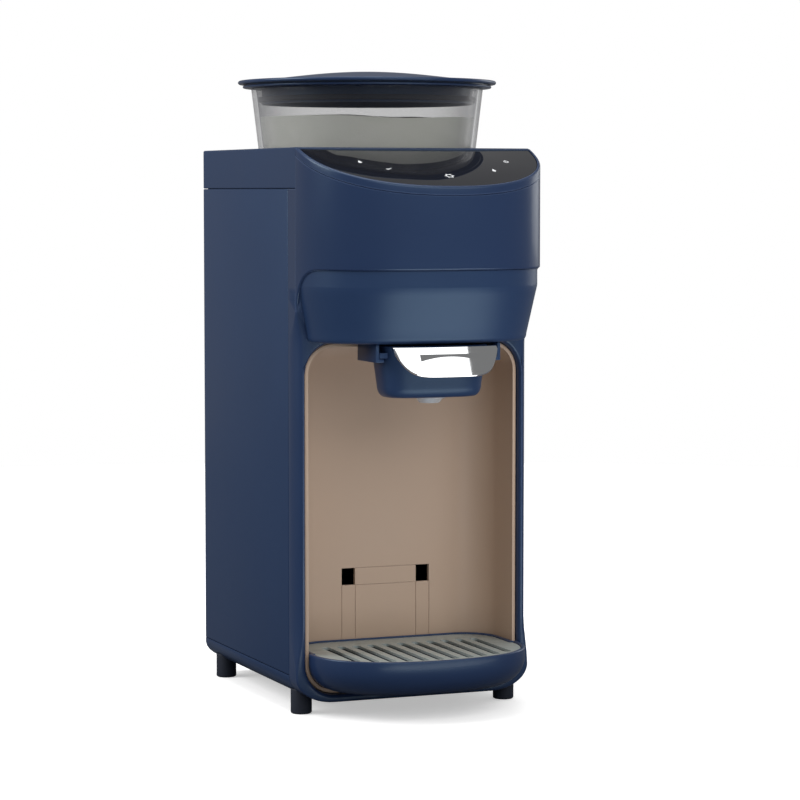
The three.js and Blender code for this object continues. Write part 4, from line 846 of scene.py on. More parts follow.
def spout_insets(z):
    """Side and front inset of the spout housing at a height."""
    size = bpy.context.scene.formula_housing
    straight = TOP_Z - size.hood_height - size.spout_band
    round_top = SPOUT_LOW + size.spout_edge
    low_insets = size.spout_side - size.spout_edge / 2, size.spout_front - size.spout_edge
    if z >= straight:
        return size.spout_inset, size.spout_inset
    if z >= round_top:
        part = (straight - z) / (straight - round_top)
        return [size.spout_inset + (inset - size.spout_inset) * part for inset in low_insets]
    part = 1 - math.sqrt(max(1 - ((round_top - z) / size.spout_edge) ** 2, 0))
    soles = size.spout_side, size.spout_front
    return [inset + (sole - inset) * part for inset, sole in zip(low_insets, soles)]


def tray_plan(inset):
    """The drip tray in plan: a bulging front and a narrower back that fits the bay."""
    bay = bpy.context.scene.formula_bay
    back, corner = high("drip_tray").y - inset, bay.tray_corner
    half = BAY_HALF - GAP - bay.wall - GAP - inset
    power = bpy.context.scene.formula_housing.hood_power
    params = [math.pi * (1 - i / 72) for i in range(73)]
    points = [(x, y - GAP) for x, y in half_oval(TRAY_HALF - inset, TRAY_REACH - inset, power, params)]
    points.append((half, FACE_Y - GAP))
    for x, start in ((half - corner, 0), (corner - half, QUARTER)):
        points += back_corner(x, start, back, corner, 12)
    return points + [(-half, FACE_Y - GAP)]


def cup_ring(across, depth, z):
    """One level ring of the funnel, an oval with squared shoulders about its own middle."""
    centre = CUP_BACK_Y - bpy.context.scene.formula_bay.cup_depth / 2
    power = bpy.context.scene.formula_bay.cup_power
    ring = []
    for turn in whole_turn(96):
        c, s = math.cos(turn), math.sin(turn)
        ring.append((across * math.copysign(abs(c) ** (2 / power), c),
                     centre + depth / 2 * math.copysign(abs(s) ** (2 / power), s), z))
    return ring


# Operators, one for each piece or group of like pieces

class FORMULA_OT_shells(bpy.types.Operator):
    """Make the front shell, the base, the side panels and the rear cover"""
    bl_idname = "formula.shells"
    bl_label = "Shells"

    def execute(self, context):
        size = context.scene.formula_housing
        build = bmesh.new()
        add_frame(build)
        window = bmesh.new()
        cube(window, (-size.window_half, HOOD_FRONT_Y, SPOUT_LOW + size.window_low),
             (size.window_half, BACK_Y, BAND_LOW - size.window_top))
        build = unpacked(bored(mesh_from("frame_block", build), window, 30))
        add_hood(build)
        ride(mesh_from("shell_front", build, 32), "housing", "navy_gloss", "front_shell")
        for name, node in (("shell_side_left", "left_side_panel"), ("shell_side_right", "right_side_panel"),
                           ("shell_rear", "rear_cover")):
            dress(name, node, "navy_satin", size.seam_edge)
        self.base(size)
        return {"FINISHED"}

    def base(self, size):
        """The base shell, its back corners rounded like those of the panels above it."""
        cutter = bmesh.new()
        over = size.wall
        arc = [(HALF_WIDTH - inward, BACK_Y - forward) for inward, forward in rounding(size.corner, 10)]
        plan = arc + [(arc[-1][0], BACK_Y + over), (HALF_WIDTH + over, BACK_Y + over),
                      (HALF_WIDTH + over, arc[0][1])]
        for side in (-1, 1):
            add_grid(cutter, [[(side * x, y, z) for x, y in plan] for z in (FLOOR_Z - over, BASE_TOP + over)])
        shell = bored(refined("shell_base", "base_shell", size.seam_edge), cutter, 32)
        ride(shell, "housing", "navy_satin", "base_shell")


class FORMULA_OT_cover(bpy.types.Operator):
    """Make the top cover with its side band and the hopper's well"""
    bl_idname = "formula.cover"
    bl_label = "Top cover"

    def execute(self, context):
        size = context.scene.formula_housing
        front, radius, edge = low("top_cover").y, size.corner, size.cover_edge
        seam, wall = size.seam_edge, size.wall
        hole = high("hopper_well").x - size.well_lip

        def plan(inset):
            half, back, near = HALF_WIDTH - inset, BACK_Y - inset, front + inset
            corner = radius - inset
            run, deep = half - corner, back - corner - near
            points = [(-half + 2 * half * i / 60, near) for i in range(61)]
            points += [(half, near + deep * i / 60) for i in range(1, 60)]
            points += back_corner(run, 0, back, corner, 8)
            points += [(x, back) for x in across_back(run, -run, 60)]
            points += back_corner(-run, QUARTER, back, corner, 8)
            return points + [(-half, back - corner - deep * i / 60) for i in range(1, 60)]

        def ring(inset, z):
            return at_height(plan(inset), z)

        def round_hole(radius_here, z):
            """A circle with a point towards each point of the cover's plan."""
            ways = [Vector((x, y - HOPPER_Y)).normalized() for x, y in plan(0.0)]
            return [(way.x * radius_here, HOPPER_Y + way.y * radius_here, z) for way in ways]

        rings = [ring(seam, BAND_LOW), ring(0.0, BAND_LOW + seam)]
        rings += [ring(inset, TOP_Z - drop) for inset, drop in rounding(edge, 5)]
        rings += [round_hole(hole + more, TOP_Z - drop)
                  for more, drop in ((edge, 0), (edge * 0.3, edge * 0.3), (0, edge), (0, wall))]
        rings += [ring(wall, TOP_Z - wall), ring(wall, BAND_LOW)]
        build = unpacked(skin("cover_top", rings, True, 32))
        inner, lip = HALF_WIDTH - wall, size.leak_lip
        for side in (-1, 1):
            for reach, bottom in ((seam, BAND_LOW + lip / 2), (-GAP, BAND_LOW - lip)):
                cube(build, (side * (inner + reach), SEAM_Y, bottom),
                     (side * (inner - 3 * GAP), BACK_Y - radius, BAND_LOW + lip))
        ride(mesh_from("cover_top", build, 32), "housing", "navy_satin", "top_cover")
        dress("cover_well", "hopper_well", "navy_satin", seam / 2)
        dress("cover_well_floor", "well_floor", "navy_satin", seam / 2)
        return {"FINISHED"}


class FORMULA_OT_panel(bpy.types.Operator):
    """Make the slanting panel: its rim, the black glass and the touch signs"""
    bl_idname = "formula.panel"
    bl_label = "Touch panel"

    def execute(self, context):
        size = context.scene.formula_panel
        back = high("panel_rim").y
        chamfer, width, ledge = size.rim_chamfer, size.rim_width, size.rim_width + size.rim_ledge
        below = size.rim_height - GAP / 2
        seat = size.recess + size.glass + GAP

        def ring(inset, drop, back_inset):
            return hood_ring(inset, inset, lambda y: panel_plane(y) - drop, back - back_inset)

        places = [(chamfer, below), (0, below - chamfer)] + rounding(size.rim_edge, 5)
        places += [(width, 0), (width, seat), (ledge, seat), (ledge, below)]
        rings = [ring(inset, drop, inset) for inset, drop in places]
        ride(skin("panel_edge", rings, True, 40), "housing", "navy_gloss", "panel_rim")

        places = [(0, size.glass), (0, GAP)] + rounding(GAP, 3)
        rings = [ring(width + GAP + more, size.recess + drop, more) for more, drop in places]
        ride(skin("panel_glass", rings), "housing", "black_glass", "touch_panel")
        self.signs(size)
        return {"FINISHED"}

    def signs(self, size):
        """Generic touch signs, drawn flat and laid on the glass."""
        build = bmesh.new()
        for x, y, kind in SIGNS:
            self.sign(build, Vector((x, y)), kind, size)
        slope = size.drop / HOOD_REACH
        for vert in build.verts:
            vert.co.z += panel_plane(vert.co.y) - size.recess + GAP / 6 * math.sqrt(1 + slope * slope)
        ride(mesh_from("panel_signs", build), "housing", "sign_print")

    def sign(self, build, centre, kind, size):
        half, line = size.sign / 2, size.sign_line
        depth = GAP / 5

        def plate(points):
            plan = [(centre.x + x, centre.y + y) for x, y in points]
            add_grid(build, [at_height(plan, -depth), at_height(plan, 0)])

        def oblong(x0, y0, x1, y1, turn=0.0):
            """A bar between two of its corners, turned about the sign's middle."""
            c, s = math.cos(turn), math.sin(turn)
            plate([(c * x - s * y, s * x + c * y) for x, y in ((x0, y0), (x1, y0), (x1, y1), (x0, y1))])

        def bow(across, tall, drop, start, end, steps):
            return [(half * across * math.cos(turn), half * (tall * math.sin(turn) - drop))
                    for turn in turn_steps(steps, start, end)]

        def band(outer, inner, start=0.0, end=FULL_TURN):
            whole = end - start >= FULL_TURN
            rows = []
            for turn in turn_steps(28, start, end)[:-1 if whole else None]:
                c, s = math.cos(turn), math.sin(turn)
                rows.append([(centre.x + radius * c, centre.y + radius * s, z) for radius, z in
                             ((outer, -depth), (outer, 0), (inner, 0), (inner, -depth))])
            add_grid(build, rows, True, whole)

        if kind == "drop":
            plate(bow(0.55, 0.55, 0.35, math.radians(150), math.radians(390), 14) + [(0, half * 0.95)])
        elif kind == "scoop":
            plate([(x - half * 0.3, y) for x, y in bow(0.6, 0.55, 0, math.pi, FULL_TURN, 16)])
            plate([(half * 0.2, -line / 2), (half, half * 0.35), (half, half * 0.35 + line),
                   (half * 0.2, line / 2)])
        elif kind == "start":
            band(half * 1.05, half * 1.05 - line * 1.3)
            for turn in whole_turn(6):
                oblong(half, -line * 0.8, half * 1.35, line * 0.8, turn)
        else:
            band(half * 0.75, half * 0.75 - line, math.radians(125), math.radians(415))
            oblong(-line / 2, 0, line / 2, half)


class FORMULA_OT_bay(bpy.types.Operator):
    """Make the bay liner with its bent back, two slots and fine grooves"""
    bl_idname = "formula.bay"
    bl_label = "Bay liner"

    def execute(self, context):
        size = context.scene.formula_bay
        bottom, top, half = BAY_LOW + GAP, BAY_HIGH - GAP, BAY_HALF - GAP
        wall, edge = size.wall, size.edge
        back = BAY_BACK_Y - wall
        front = FACE_Y + context.scene.formula_housing.mouth_deep

        def ring(inset, y, squeeze=0.0):
            corner = size.corner + wall - inset
            return at_depth(rounded_box(half - inset - squeeze, bottom + inset, top - inset, corner, 12), y)

        def bend(inset, radius, y_end):
            return [ring(inset, y_end - forward, squeeze) for squeeze, forward in rounding(radius, 16)]

        rings = list(reversed(bend(0, size.bend + wall, BAY_BACK_Y)))
        rings += [ring(inset, front + deep) for inset, deep in rounding(edge, 4)]
        rings += [ring(wall - edge + inset, front + deep) for inset, deep in reversed(rounding(edge, 4))][1:]
        rings += bend(wall, size.bend, back)
        ride(bored(skin("bay_liner", rings, False, 40), self.slots(size, back), 40), "housing", "taupe",
             "niche_liner", "niche_back", "niche_corner_left", "niche_corner_right")
        return {"FINISHED"}

    def slots(self, size, back):
        """What is cut out of the liner's back: two slots and the fine grooves round them."""
        cutter = bmesh.new()
        tall, wide, line = size.slot_height / 2, size.slot_width / 2, size.groove
        slot_low, slot_high = size.slot_middle - tall, size.slot_middle + tall
        near, deep = back - line * 4, back + line
        for side in (-1, 1):
            x = side * size.slot_spacing / 2
            cube(cutter, (x - wide, near, slot_low), (x + wide, BAY_BACK_Y + line, slot_high))
            for x_line in (x - wide, x + wide):
                cube(cutter, (x_line - line / 2, near, high("drip_tray").z - line * 5),
                     (x_line + line / 2, deep, slot_low))
        inner = size.slot_spacing / 2 - wide
        for z in (slot_low, slot_high):
            cube(cutter, (-inner, near, z - line / 2), (inner, deep, z + line / 2))
        return cutter


class FORMULA_OT_spout(bpy.types.Operator):
    """Make the tapered spout housing under the hood, its chute, nozzle and rails"""
    bl_idname = "formula.spout"
    bl_label = "Spout"

    def execute(self, context):
        size = context.scene.formula_housing
        back, top, wall = high("spout_housing").y, high("spout_housing").z, size.wall
        straight = TOP_Z - size.hood_height - size.spout_band
        round_top = SPOUT_LOW + size.spout_edge

        def outer(nominal, ease=0.0):
            """A ring at a nominal height, kept under the hood's lower edge where that drops."""
            points = []
            for turn in hood_params():
                z = nominal
                for _ in range(3):
                    side, front = spout_insets(z)
                    (x, y), = half_oval(HALF_WIDTH - side, HOOD_REACH - front, size.hood_power, [turn])
                    z = min(nominal, hood_edge(y) - GAP)
                points.append((x + math.copysign(-ease, x), min(y + ease, back), z))
            level = points[-1][2]
            return points + [(x, back, level) for x in across_back(points[-1][0], points[0][0])]

        def inner(z):
            side, front = spout_insets(z)
            return hood_ring(side + wall, front + wall, lambda y: z, back - wall)

        rings = [outer(SPOUT_LOW + rise) for rise, _ in rounding(size.spout_edge, 5)]
        rings += [outer(round_top + (straight - SPOUT_LOW - size.spout_edge) * i / 6) for i in range(1, 7)]
        rings += [outer(straight + size.spout_crease), outer(top), outer(top, wall / 2)]
        rings += [inner(z) for z in (top, straight, round_top, SPOUT_LOW + wall)]
        cutter = bmesh.new()
        chute_low, chute_high = low("powder_chute"), high("powder_chute")
        cube(cutter, (chute_low.x - GAP, chute_low.y - GAP, SPOUT_LOW - wall),
             (chute_high.x + GAP, chute_low.y + size.chute_deep + wall, SPOUT_LOW + 2 * wall))
        tip = middle("water_nozzle")
        drill(cutter, size.nozzle_hole, tip.x, tip.y, SPOUT_LOW)
        cube(cutter, (-size.window_half, back - 2 * wall, SPOUT_LOW + wall),
             (size.window_half, back + wall, TOP_Z))
        spout = bored(skin("spout_body", rings, False, 30), cutter, 30)
        ride(spout, "housing", "navy_satin", "spout_housing")
        dress("rail_left", "funnel_rail_left", "navy_satin")
        dress("rail_right", "funnel_rail_right", "navy_satin")
        dress("chute", "powder_chute", "nylon")
        dress("water_tip", "water_nozzle", "clear_tip")
        return {"FINISHED"}


class FORMULA_OT_funnel(bpy.types.Operator):
    """Make the mixing funnel: cup, bright handle and clear tip"""
    bl_idname = "formula.funnel"
    bl_label = "Funnel"

    def execute(self, context):
        size = context.scene.formula_bay
        edge, wall, rim = size.cup_edge, size.cup_wall, size.cup_rim
        inner = CUP_LOW + wall

        def ring(inset, z, more=0.0):
            part = min(max((z - CUP_LOW - edge) / (CUP_HIGH - CUP_LOW - edge), 0), 1)
            across = size.cup_sole_half + (size.cup_half - size.cup_sole_half) * part - inset - more
            depth = size.cup_depth - size.cup_taper * (1 - part) - 2 * (inset + more)
            return cup_ring(across, depth, z)

        def sole(inset, bottom, steps):
            """Rings from the flat foot up its rounded edge, which is wider than it is high."""
            return [ring(inset, bottom + edge * rise, edge * size.cup_squash * more)
                    for rise, more in rounding(1, steps)]

        rings = sole(0, CUP_LOW, 8)
        rings += [ring(0, CUP_HIGH - rim), ring(rim, CUP_HIGH), ring(wall - rim * 0.8, CUP_HIGH),
                  ring(wall, CUP_HIGH - rim * 0.8)]
        rings += reversed(sole(wall, inner, 6))
        tip_y = middle("funnel_nozzle").y
        cutter = bmesh.new()
        drill(cutter, size.cup_hole, 0, tip_y, CUP_LOW)
        build = unpacked(bored(skin("cup_form", rings, False, 32), cutter, 32))
        reach = size.cup_depth / 2 - edge
        centre = CUP_BACK_Y - size.cup_depth / 2
        for side in (-1, 1):
            cube(build, (side * (size.cup_half - wall), centre - reach, CUP_HIGH - size.flange_low),
                 (side * high("funnel_cup").x, centre + reach, CUP_HIGH - size.flange_high))
        ride(mesh_from("cup", build, 32), "funnel", "navy_satin", "funnel_cup")
        self.handle(size)
        bottom, top = low("funnel_nozzle").z, high("funnel_nozzle").z
        radius, bore = high("funnel_nozzle").x, size.tip_bore
        # The tip narrows downwards, most of all at its lower end
        profile = [(bore, bottom), (radius * 0.60, bottom), (radius * 0.70, bottom + 0.0008),
                   (radius * 0.80, bottom + 0.0026), (radius * 0.98, top - 0.0006), (radius, top),
                   (bore, top)]
        ride(lathe("cup_tip", profile, 64, 0, tip_y), "funnel", "clear_tip", "funnel_nozzle")
        return {"FINISHED"}

    def handle(self, size):
        """A bowed, leaning plate with rounded lower ends, and a neck to the cup."""
        bottom, top = low("funnel_handle").z, high("funnel_handle").z
        front = CUP_BACK_Y - size.cup_depth - GAP
        thick, soft = size.handle_thick, size.handle_thick * 0.32
        rings = []
        for i in range(81):
            part = 2 * i / 80 - 1
            # Steps grow closer towards the ends, where the lower edge runs up
            part = math.copysign(1 - (1 - abs(part)) ** 1.25, part)
            low_z = bottom + (top - bottom - thick) * abs(part) ** 6
            x, bow = size.handle_half * part, size.handle_bow * (1 - part * part)
            ring = []
            corners = ((0, low_z, 1), (thick, low_z, 1), (thick, top, -1), (0, top, -1))
            for k, (depth, z, up) in enumerate(corners):
                y = front - thick - bow - size.handle_lean * (top - z) / (top - bottom) + depth
                inward = -soft if depth else soft
                rounded = [(x, y, z + up * soft), (x, y + inward * 0.3, z + up * soft * 0.3),
                           (x, y + inward, z)]
                ring += reversed(rounded) if k % 2 else rounded
            rings.append(ring)
        build = bmesh.new()
        add_grid(build, rings)
        neck = (top + bottom) / 2
        cube(build, (-size.neck_half, front - size.handle_bow - size.neck_reach, neck - size.neck_rise),
             (size.neck_half, front + GAP / 2, neck + size.neck_rise))
        ride(mesh_from("handle", build, 30), "funnel", "chrome", "funnel_handle")


class FORMULA_OT_tray(bpy.types.Operator):
    """Make the drip tray"""
    bl_idname = "formula.tray"
    bl_label = "Drip tray"

    def execute(self, context):
        size = context.scene.formula_bay
        bottom, top, ledge = low("drip_tray").z, high("drip_tray").z, low("drip_grid").z - GAP
        rim, edge, wall = size.tray_rim, size.tray_edge, size.tray_wall
        step = wall + size.tray_ledge
        places = [(inset, bottom + rise) for rise, inset in rounding(edge, 10)]
        places += [(inset, top - drop) for inset, drop in rounding(rim, 4)]
        places += [(wall - rim * 0.6, top), (wall, top - rim * 0.6), (wall, ledge), (step, ledge),
                   (step, bottom + edge), (edge, bottom + wall)]
        rings = [at_height(tray_plan(inset), z) for inset, z in places]
        ride(skin("tray", rings, False, 32), "drip_tray", "navy_gloss", "drip_tray")
        return {"FINISHED"}


class FORMULA_OT_grid(bpy.types.Operator):
    """Make the slotted steel grid with Geometry Nodes: one slot for each place on a line"""
    bl_idname = "formula.grid"
    bl_label = "Grid"

    def execute(self, context):
        size = context.scene.formula_bay
        bottom, top, inset = low("drip_grid").z, high("drip_grid").z, size.tray_wall + GAP
        plan = tray_plan(inset)
        plate = skin("grid", [at_height(plan, bottom), at_height(plan, top - FINE_EDGE),
                              at_height(tray_plan(inset + FINE_EDGE), top)])
        values = {"Pitch": 2 * (TRAY_HALF - size.grid_margin) / (size.grid_slots - 1),
                  "Width": size.grid_slot, "Half width": TRAY_HALF, "Reach": TRAY_REACH,
                  "Power": context.scene.formula_housing.hood_power, "Front margin": size.grid_front,
                  "Front line": FACE_Y, "Back line": FACE_Y + size.grid_back, "Height": (bottom + top) / 2}
        group = self.tree(values)
        pattern = plate.modifiers.new("Slots", "NODES")
        pattern.node_group = group
        values["Count"] = size.grid_slots
        for socket in group.interface.items_tree:
            if socket.item_type == "SOCKET" and socket.name in values:
                pattern[socket.identifier] = values[socket.name]
        settled(plate, 40)
        ride(plate, "drip_grid", "steel", "drip_grid")
        return {"FINISHED"}

    def tree(self, names):
        """The node group that cuts the slots. Each runs back from the plate's curved front edge."""
        group = bpy.data.node_groups.new("Grid slots", "GeometryNodeTree")
        face = group.interface
        face.new_socket("Geometry", in_out="INPUT", socket_type="NodeSocketGeometry")
        face.new_socket("Geometry", in_out="OUTPUT", socket_type="NodeSocketGeometry")
        face.new_socket("Count", in_out="INPUT", socket_type="NodeSocketInt")
        for name in names:
            face.new_socket(name, in_out="INPUT", socket_type="NodeSocketFloat")
        given, out = group.nodes.new("NodeGroupInput").outputs, group.nodes.new("NodeGroupOutput")

        def calc(operation, *values):
            return maths(group, operation, *values)

        def made(kind, **values):
            return new_node(group, "GeometryNode" + kind, **values)

        centred = calc("MULTIPLY", calc("SUBTRACT", given["Count"], 1.0), -0.5)
        start = combined(group, calc("MULTIPLY", centred, given["Pitch"]), 0.0, given["Height"])
        line = made("MeshLine", Count=given["Count"], Start_Location=start,
                    Offset=combined(group, given["Pitch"], 0.0, 0.0)).outputs["Mesh"]
        x = calc("MULTIPLY", calc("ADD", made("InputIndex").outputs[0], centred), given["Pitch"])
        part = calc("POWER", calc("DIVIDE", calc("ABSOLUTE", x), given["Half width"]), given["Power"])
        bulge = calc("POWER", calc("SUBTRACT", 1.0, part), calc("DIVIDE", 1.0, given["Power"]))
        front = calc("SUBTRACT", given["Front line"], calc("MULTIPLY", given["Reach"], bulge))
        front = calc("ADD", front, given["Front margin"])
        run = calc("SUBTRACT", given["Back line"], front)
        radius = calc("MULTIPLY", given["Width"], 0.5)

        cutters = made("JoinGeometry")
        for place, tall in ((calc("MULTIPLY", calc("ADD", given["Back line"], front), 0.5),
                             calc("SUBTRACT", run, given["Width"])),
                            (calc("ADD", front, radius), None),
                            (calc("SUBTRACT", given["Back line"], radius), None)):
            points = made("SetPosition", Geometry=line, Offset=combined(group, 0.0, place, 0.0)).outputs[0]
            if tall is not None:
                block = made("MeshCube", Size=(1, 1, 0.01))
                put = made("InstanceOnPoints", Points=points, Instance=block.outputs["Mesh"],
                           Scale=combined(group, given["Width"], tall, 1.0))
            else:
                block = made("MeshCylinder", Vertices=24, Depth=0.01, Radius=radius)
                put = made("InstanceOnPoints", Points=points, Instance=block.outputs["Mesh"])
            group.links.new(put.outputs["Instances"], cutters.inputs["Geometry"])
        realized = made("RealizeInstances", Geometry=cutters.outputs["Geometry"]).outputs["Geometry"]
        cut = group.nodes.new("GeometryNodeMeshBoolean")
        cut.operation, cut.solver = "DIFFERENCE", "EXACT"
        feed(group, cut, Self_Intersection=True, Mesh_1=given["Geometry"], Mesh_2=realized)
        last = made("RealizeInstances", Geometry=cut.outputs["Mesh"])
        dressed = made("SetMaterial", Geometry=last.outputs["Geometry"], Material=finish("steel"))
        feed(group, out, Geometry=dressed.outputs["Geometry"])
        return group


class FORMULA_OT_hopper(bpy.types.Operator):
    """Make the clear powder hopper, its dosing base and the powder in it"""
    bl_idname = "formula.hopper"
    bl_label = "Hopper"

    def execute(self, context):
        size = context.scene.formula_hopper
        bottom, top, edge, wall = low("hopper").z, high("hopper").z, size.edge, size.wall
        mouth = high("hopper").x
        inside = mouth - wall

        def radius(z):
            return mouth - (mouth - size.waist) * (top - z) / (top - bottom)

        profile = [(radius(bottom) - wall, bottom), (radius(bottom), bottom)]
        rises = [bottom + (top - edge - bottom) * i / 6 for i in range(1, 7)]
        profile += [(radius(z), z) for z in rises]
        profile += [(mouth - edge * 0.3, top - edge * 0.3), (mouth - edge, top), (inside + edge, top),
                    (inside + edge * 0.3, top - edge * 0.3), (inside, top - edge)]
        falls = [top - (top - bottom) * i / 6 for i in range(1, 6)]
        profile += [(radius(z) - wall, z) for z in falls]
        ride(lathe("hopper_wall", profile, size.steps), "hopper", "frosted", "hopper")
        dress("hopper_foot", "hopper_base", "black_plastic", 0.0004, "hopper")
        self.powder(size, radius)
        return {"FINISHED"}

    def powder(self, size, radius):
        """Powder down to the hopper's floor, clear of the space that the stirrer and the wheel sweep."""
        top, wave, clear_by, count = size.powder_top, size.powder_wave, size.powder_clear, size.steps
        arm, crown = high("stirrer").x + clear_by, high("stirrer").z + clear_by
        disc, shelf = high("dosing_wheel").x + clear_by, high("dosing_wheel").z + clear_by / 2
        ground = high("hopper_base").z + clear_by / 2
        gap = size.wall + size.powder_gap

        def level(turn, part):
            return top + wave * (0.55 * math.sin(2 * turn + 0.7) + 0.3 * math.sin(5 * turn) +
                                 0.35 * math.cos(3 * turn + 9 * part) + 0.8 * (1 - part) - 0.5)

        rings = [at_height(circle(across, count, HOPPER_Y), z)
                 for across, z in ((0, crown), (arm / 2, crown), (arm, crown), (arm, shelf), (disc, shelf),
                                   (disc, ground), (radius(ground) - gap, ground))]
        for part in (1.0, 0.97, 0.9, 0.75, 0.55, 0.35, 0.15, 0.0):
            ring = []
            for turn in whole_turn(count):
                z = level(turn, part) if part else top
                across = part * (radius(z) - gap)
                ring.append((across * math.cos(turn), HOPPER_Y + across * math.sin(turn), z))
            rings.append(ring)
        build = bmesh.new()
        add_grid(build, rings, capped=False)
        ride(mesh_from("powder_fill", build, 60), "hopper", "powder")


class FORMULA_OT_lid(bpy.types.Operator):
    """Make the lid with its wide thin rim, its plug and the seal"""
    bl_idname = "formula.lid"
    bl_label = "Lid"

    def execute(self, context):
        size = context.scene.formula_hopper
        bottom, crown = low("hopper_lid").z, high("hopper_lid").z
        seat = bottom + size.skirt_depth
        rim, thick = seat + size.lid_rim, size.lid_thick
        skirt, edge, disc = size.skirt, size.lid_edge, size.lid_disc
        nick, ease = size.plug_nick, size.plug_edge
        flat, inner = LID_RADIUS - disc / 2, skirt - thick

        def dome(radius):
            return rim + (crown - rim) * max(1 - (radius / size.lid_dome) ** 2, 0) ** size.lid_fall

        profile = [(0, crown - thick)]
        profile += [(inner * i / 10, dome(inner * i / 10) - thick) for i in range(1, 10)]
        profile += [(inner - nick, dome(inner) - thick), (inner, dome(inner) - thick - nick),
                    (inner, bottom + ease), (inner + ease, bottom), (skirt - ease, bottom),
                    (skirt, bottom + ease), (skirt, seat - nick), (skirt + nick, seat)]
        profile += [(size.lid_lip - inward, seat + rise) for rise, inward in rounding(edge, 6, math.pi)]
        profile += [(size.lid_groove, seat + 2 * edge), (size.lid_groove, rim - disc)]
        profile += [(LID_RADIUS - inward, rim - disc + rise)
                    for rise, inward in rounding(disc / 2, 8, math.pi)]
        # Rings of the dome, closer near the disc's edge
        radii = [flat * (1 - i / 16) ** 0.8 for i in range(1, 16)]
        profile += [(radius, dome(radius)) for radius in radii] + [(0, crown)]
        ride(lathe("lid", profile, size.steps), "hopper_lid", "navy_gloss", "hopper_lid")
        dress("lid_ring", "lid_seal", "rubber", 0.0006, "hopper_lid", 3)
        return {"FINISHED"}


class FORMULA_OT_feet(bpy.types.Operator):
    """Make the four rubber feet and dress the base screws"""
    bl_idname = "formula.feet"
    bl_label = "Feet"

    def execute(self, context):
        size = context.scene.formula_housing
        edge, ease, hollow = size.foot_edge, size.seam_edge, size.foot_hollow
        for i in range(1, 5):
            centre, top = middle(f"foot_{i}"), high(f"foot_{i}").z
            radius = high(f"foot_{i}").x - centre.x
            profile = [(0, hollow), (radius * 0.45, hollow), (radius * 0.5, 0)]
            profile += [(radius - inward, rise) for rise, inward in rounding(edge, 4)]
            profile += [(radius, top - ease), (radius - ease, top), (0, top)]
            ride(lathe(f"pad_{i}", profile, 48, centre.x, centre.y), "housing", "rubber", f"foot_{i}")
            dress(f"screw_{i}", f"base_screw_{i}", "steel")
        return {"FINISHED"}


class FORMULA_OT_water(bpy.types.Operator):
    """Make the water tank and its bay, and dress the pump, heater and hoses"""
    bl_idname = "formula.water"
    bl_label = "Water side"

    def execute(self, context):
        dress("tank", "water_tank", "smoke", 0.0012, "water_tank", 3)
        dress("tank_pull", "tank_grip", "smoke", 0.0008, "water_tank", 3)
        dress("tank_seat", "tank_bay", "black_plastic", 0.0006)
        dress("inlet", "power_inlet", "black_plastic", 0.0004)
        dress("tank_port", "tank_socket", "black_plastic", 0.0002)
        dress("port_ring", "tank_seal", "rubber", 0.0002)
        dress("pump", "water_pump", "black_plastic", 0.0006)
        dress("heater", "heater_block", "alloy", 0.0006)
        for kind in ("suction", "pressure", "spout"):
            dress(f"hose_{kind}", f"{kind}_hose", "silicone", 0)
        return {"FINISHED"}


class FORMULA_OT_works(bpy.types.Operator):
    """Dress the dosing wheel, stirrer, gears, motor and boards"""
    bl_idname = "formula.works"
    bl_label = "Works"

    def execute(self, context):
        for name, node, slot, body in (
                ("dose_wheel", "dosing_wheel", "nylon", "dosing_rotor"),
                ("dose_arm", "stirrer", "nylon", "dosing_rotor"),
                ("gear", "drive_gear", "nylon", "drive_gear"),
                ("pinion", "motor_pinion", "alloy", "motor_pinion"),
                ("gear_plate", "gearbox_plate", "black_plastic", "housing"),
                ("motor", "dosing_motor", "alloy", "housing"),
                ("touch_board", "control_board", "board", "housing"),
                ("power_board", "main_board", "board", "housing")):
            dress(name, node, slot, body=body)
        return {"FINISHED"}


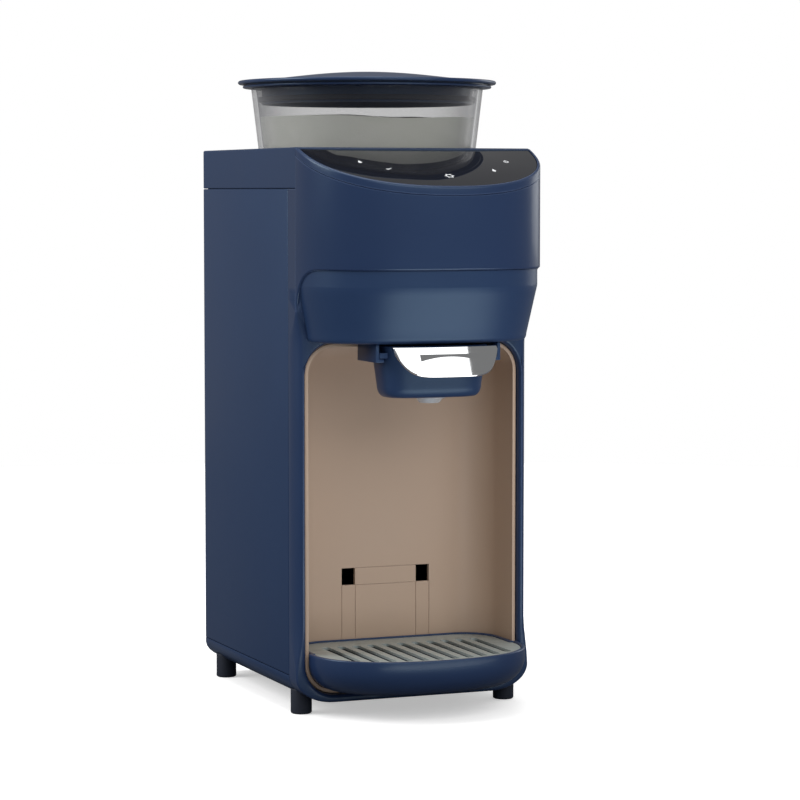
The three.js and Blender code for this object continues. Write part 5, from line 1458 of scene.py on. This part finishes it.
class FORMULA_OT_stage(bpy.types.Operator):
    """Set the floor, backdrop, lights and camera"""
    bl_idname = "formula.stage"
    bl_label = "Stage"

    def execute(self, context):
        scene, size = context.scene, context.scene.formula_stage
        camera = placed("Camera", bpy.data.cameras.new("Camera"))
        camera.location = size.camera_place
        camera.rotation_euler = (QUARTER - size.camera_pitch, 0, -size.camera_turn)
        camera.data.lens, camera.data.sensor_width = size.lens, 36
        camera.data.clip_start, camera.data.clip_end = 0.05, 30
        scene.camera = camera
        self.floor(size)
        self.world(scene, size)
        for lamp in LAMPS:
            self.lamp(*lamp)
        scene.view_settings.view_transform = "Standard"
        return {"FINISHED"}

    def seen(self, tree):
        """The kinds of ray, and a mask of those that come from the camera, also through glass."""
        rays = tree.nodes.new("ShaderNodeLightPath").outputs
        return rays, maths(tree, "MAXIMUM", rays["Is Camera Ray"], rays["Is Transmission Ray"])

    def floor(self, size):
        """A white floor that shows the object's shadow, and is darker where the object mirrors it."""
        build = bmesh.new()
        rings = [at_height(circle(size.floor_size * i / 12, 96), 0) for i in range(1, 13)]
        add_grid(build, rings, capped=False)
        build.faces.new(list(build.verts)[:96])
        obj = mesh_from("floor", build)
        made, tree, shader = blank("floor")
        _, seen = self.seen(tree)
        feed(tree, shader, Roughness=0.9, Specular_IOR_Level=0.0, Emission_Color=(1, 1, 1, 1),
             Base_Color=between(tree, seen, size.floor_bounce, size.floor_colour),
             Emission_Strength=maths(tree, "MULTIPLY", seen, size.floor_lift))
        obj.data.materials.append(made)

    def world(self, scene, size):
        """White all round, and dimmer as light and as a reflection."""
        world = scene.world = bpy.data.worlds.new("Studio")
        world.use_nodes = True
        tree = world.node_tree
        rays, seen = self.seen(tree)
        gloss = spread(tree, rays["Is Glossy Ray"], 0, 1, size.world_light, size.world_gloss)
        feed(tree, tree.nodes["Background"], Color=(1, 1, 1, 1), Strength=maths(tree, "MAXIMUM", seen, gloss))

    def lamp(self, name, place, target, across, tall, power):
        lamp = bpy.data.lights.new(name, "AREA")
        lamp.shape, lamp.size, lamp.size_y, lamp.energy = "RECTANGLE", across, tall, power
        obj = placed(name, lamp)
        obj.location = place
        obj.rotation_euler = (Vector(target) - Vector(place)).to_track_quat("-Z", "Y").to_euler()
        obj.visible_camera = False


PIECES = (FORMULA_OT_shells, FORMULA_OT_cover, FORMULA_OT_panel, FORMULA_OT_bay, FORMULA_OT_spout,
          FORMULA_OT_funnel, FORMULA_OT_tray, FORMULA_OT_grid, FORMULA_OT_hopper, FORMULA_OT_lid,
          FORMULA_OT_feet, FORMULA_OT_water, FORMULA_OT_works, FORMULA_OT_stage)
GROUPS = {"formula_housing": FormulaHousing, "formula_bay": FormulaBay, "formula_panel": FormulaPanel,
          "formula_hopper": FormulaHopper, "formula_stage": FormulaStage}


class FORMULA_PT_panel(bpy.types.Panel):
    """Lists the settings and the pieces"""
    bl_idname = "FORMULA_PT_panel"
    bl_label = "Formula maker"
    bl_space_type = "VIEW_3D"
    bl_region_type = "UI"
    bl_category = "Formula Maker"

    def draw(self, context):
        for name in GROUPS:
            settings = getattr(context.scene, name)
            column = self.layout.column(heading=name.replace("formula_", "").capitalize())
            for key in settings.bl_rna.properties.keys():
                if key not in ("rna_type", "name"):
                    column.prop(settings, key)
        for piece in PIECES:
            self.layout.operator(piece.bl_idname)


def register():
    for kind in (*GROUPS.values(), *PIECES, FORMULA_PT_panel):
        bpy.utils.register_class(kind)
    for name, kind in GROUPS.items():
        setattr(bpy.types.Scene, name, PointerProperty(type=kind))


def unregister():
    for name in GROUPS:
        delattr(bpy.types.Scene, name)
    for kind in reversed((*GROUPS.values(), *PIECES, FORMULA_PT_panel)):
        bpy.utils.unregister_class(kind)


def main():
    register()
    for piece in PIECES:
        group, name = piece.bl_idname.split(".")
        getattr(getattr(bpy.ops, group), name)()


if __name__ == "__main__":
    main()
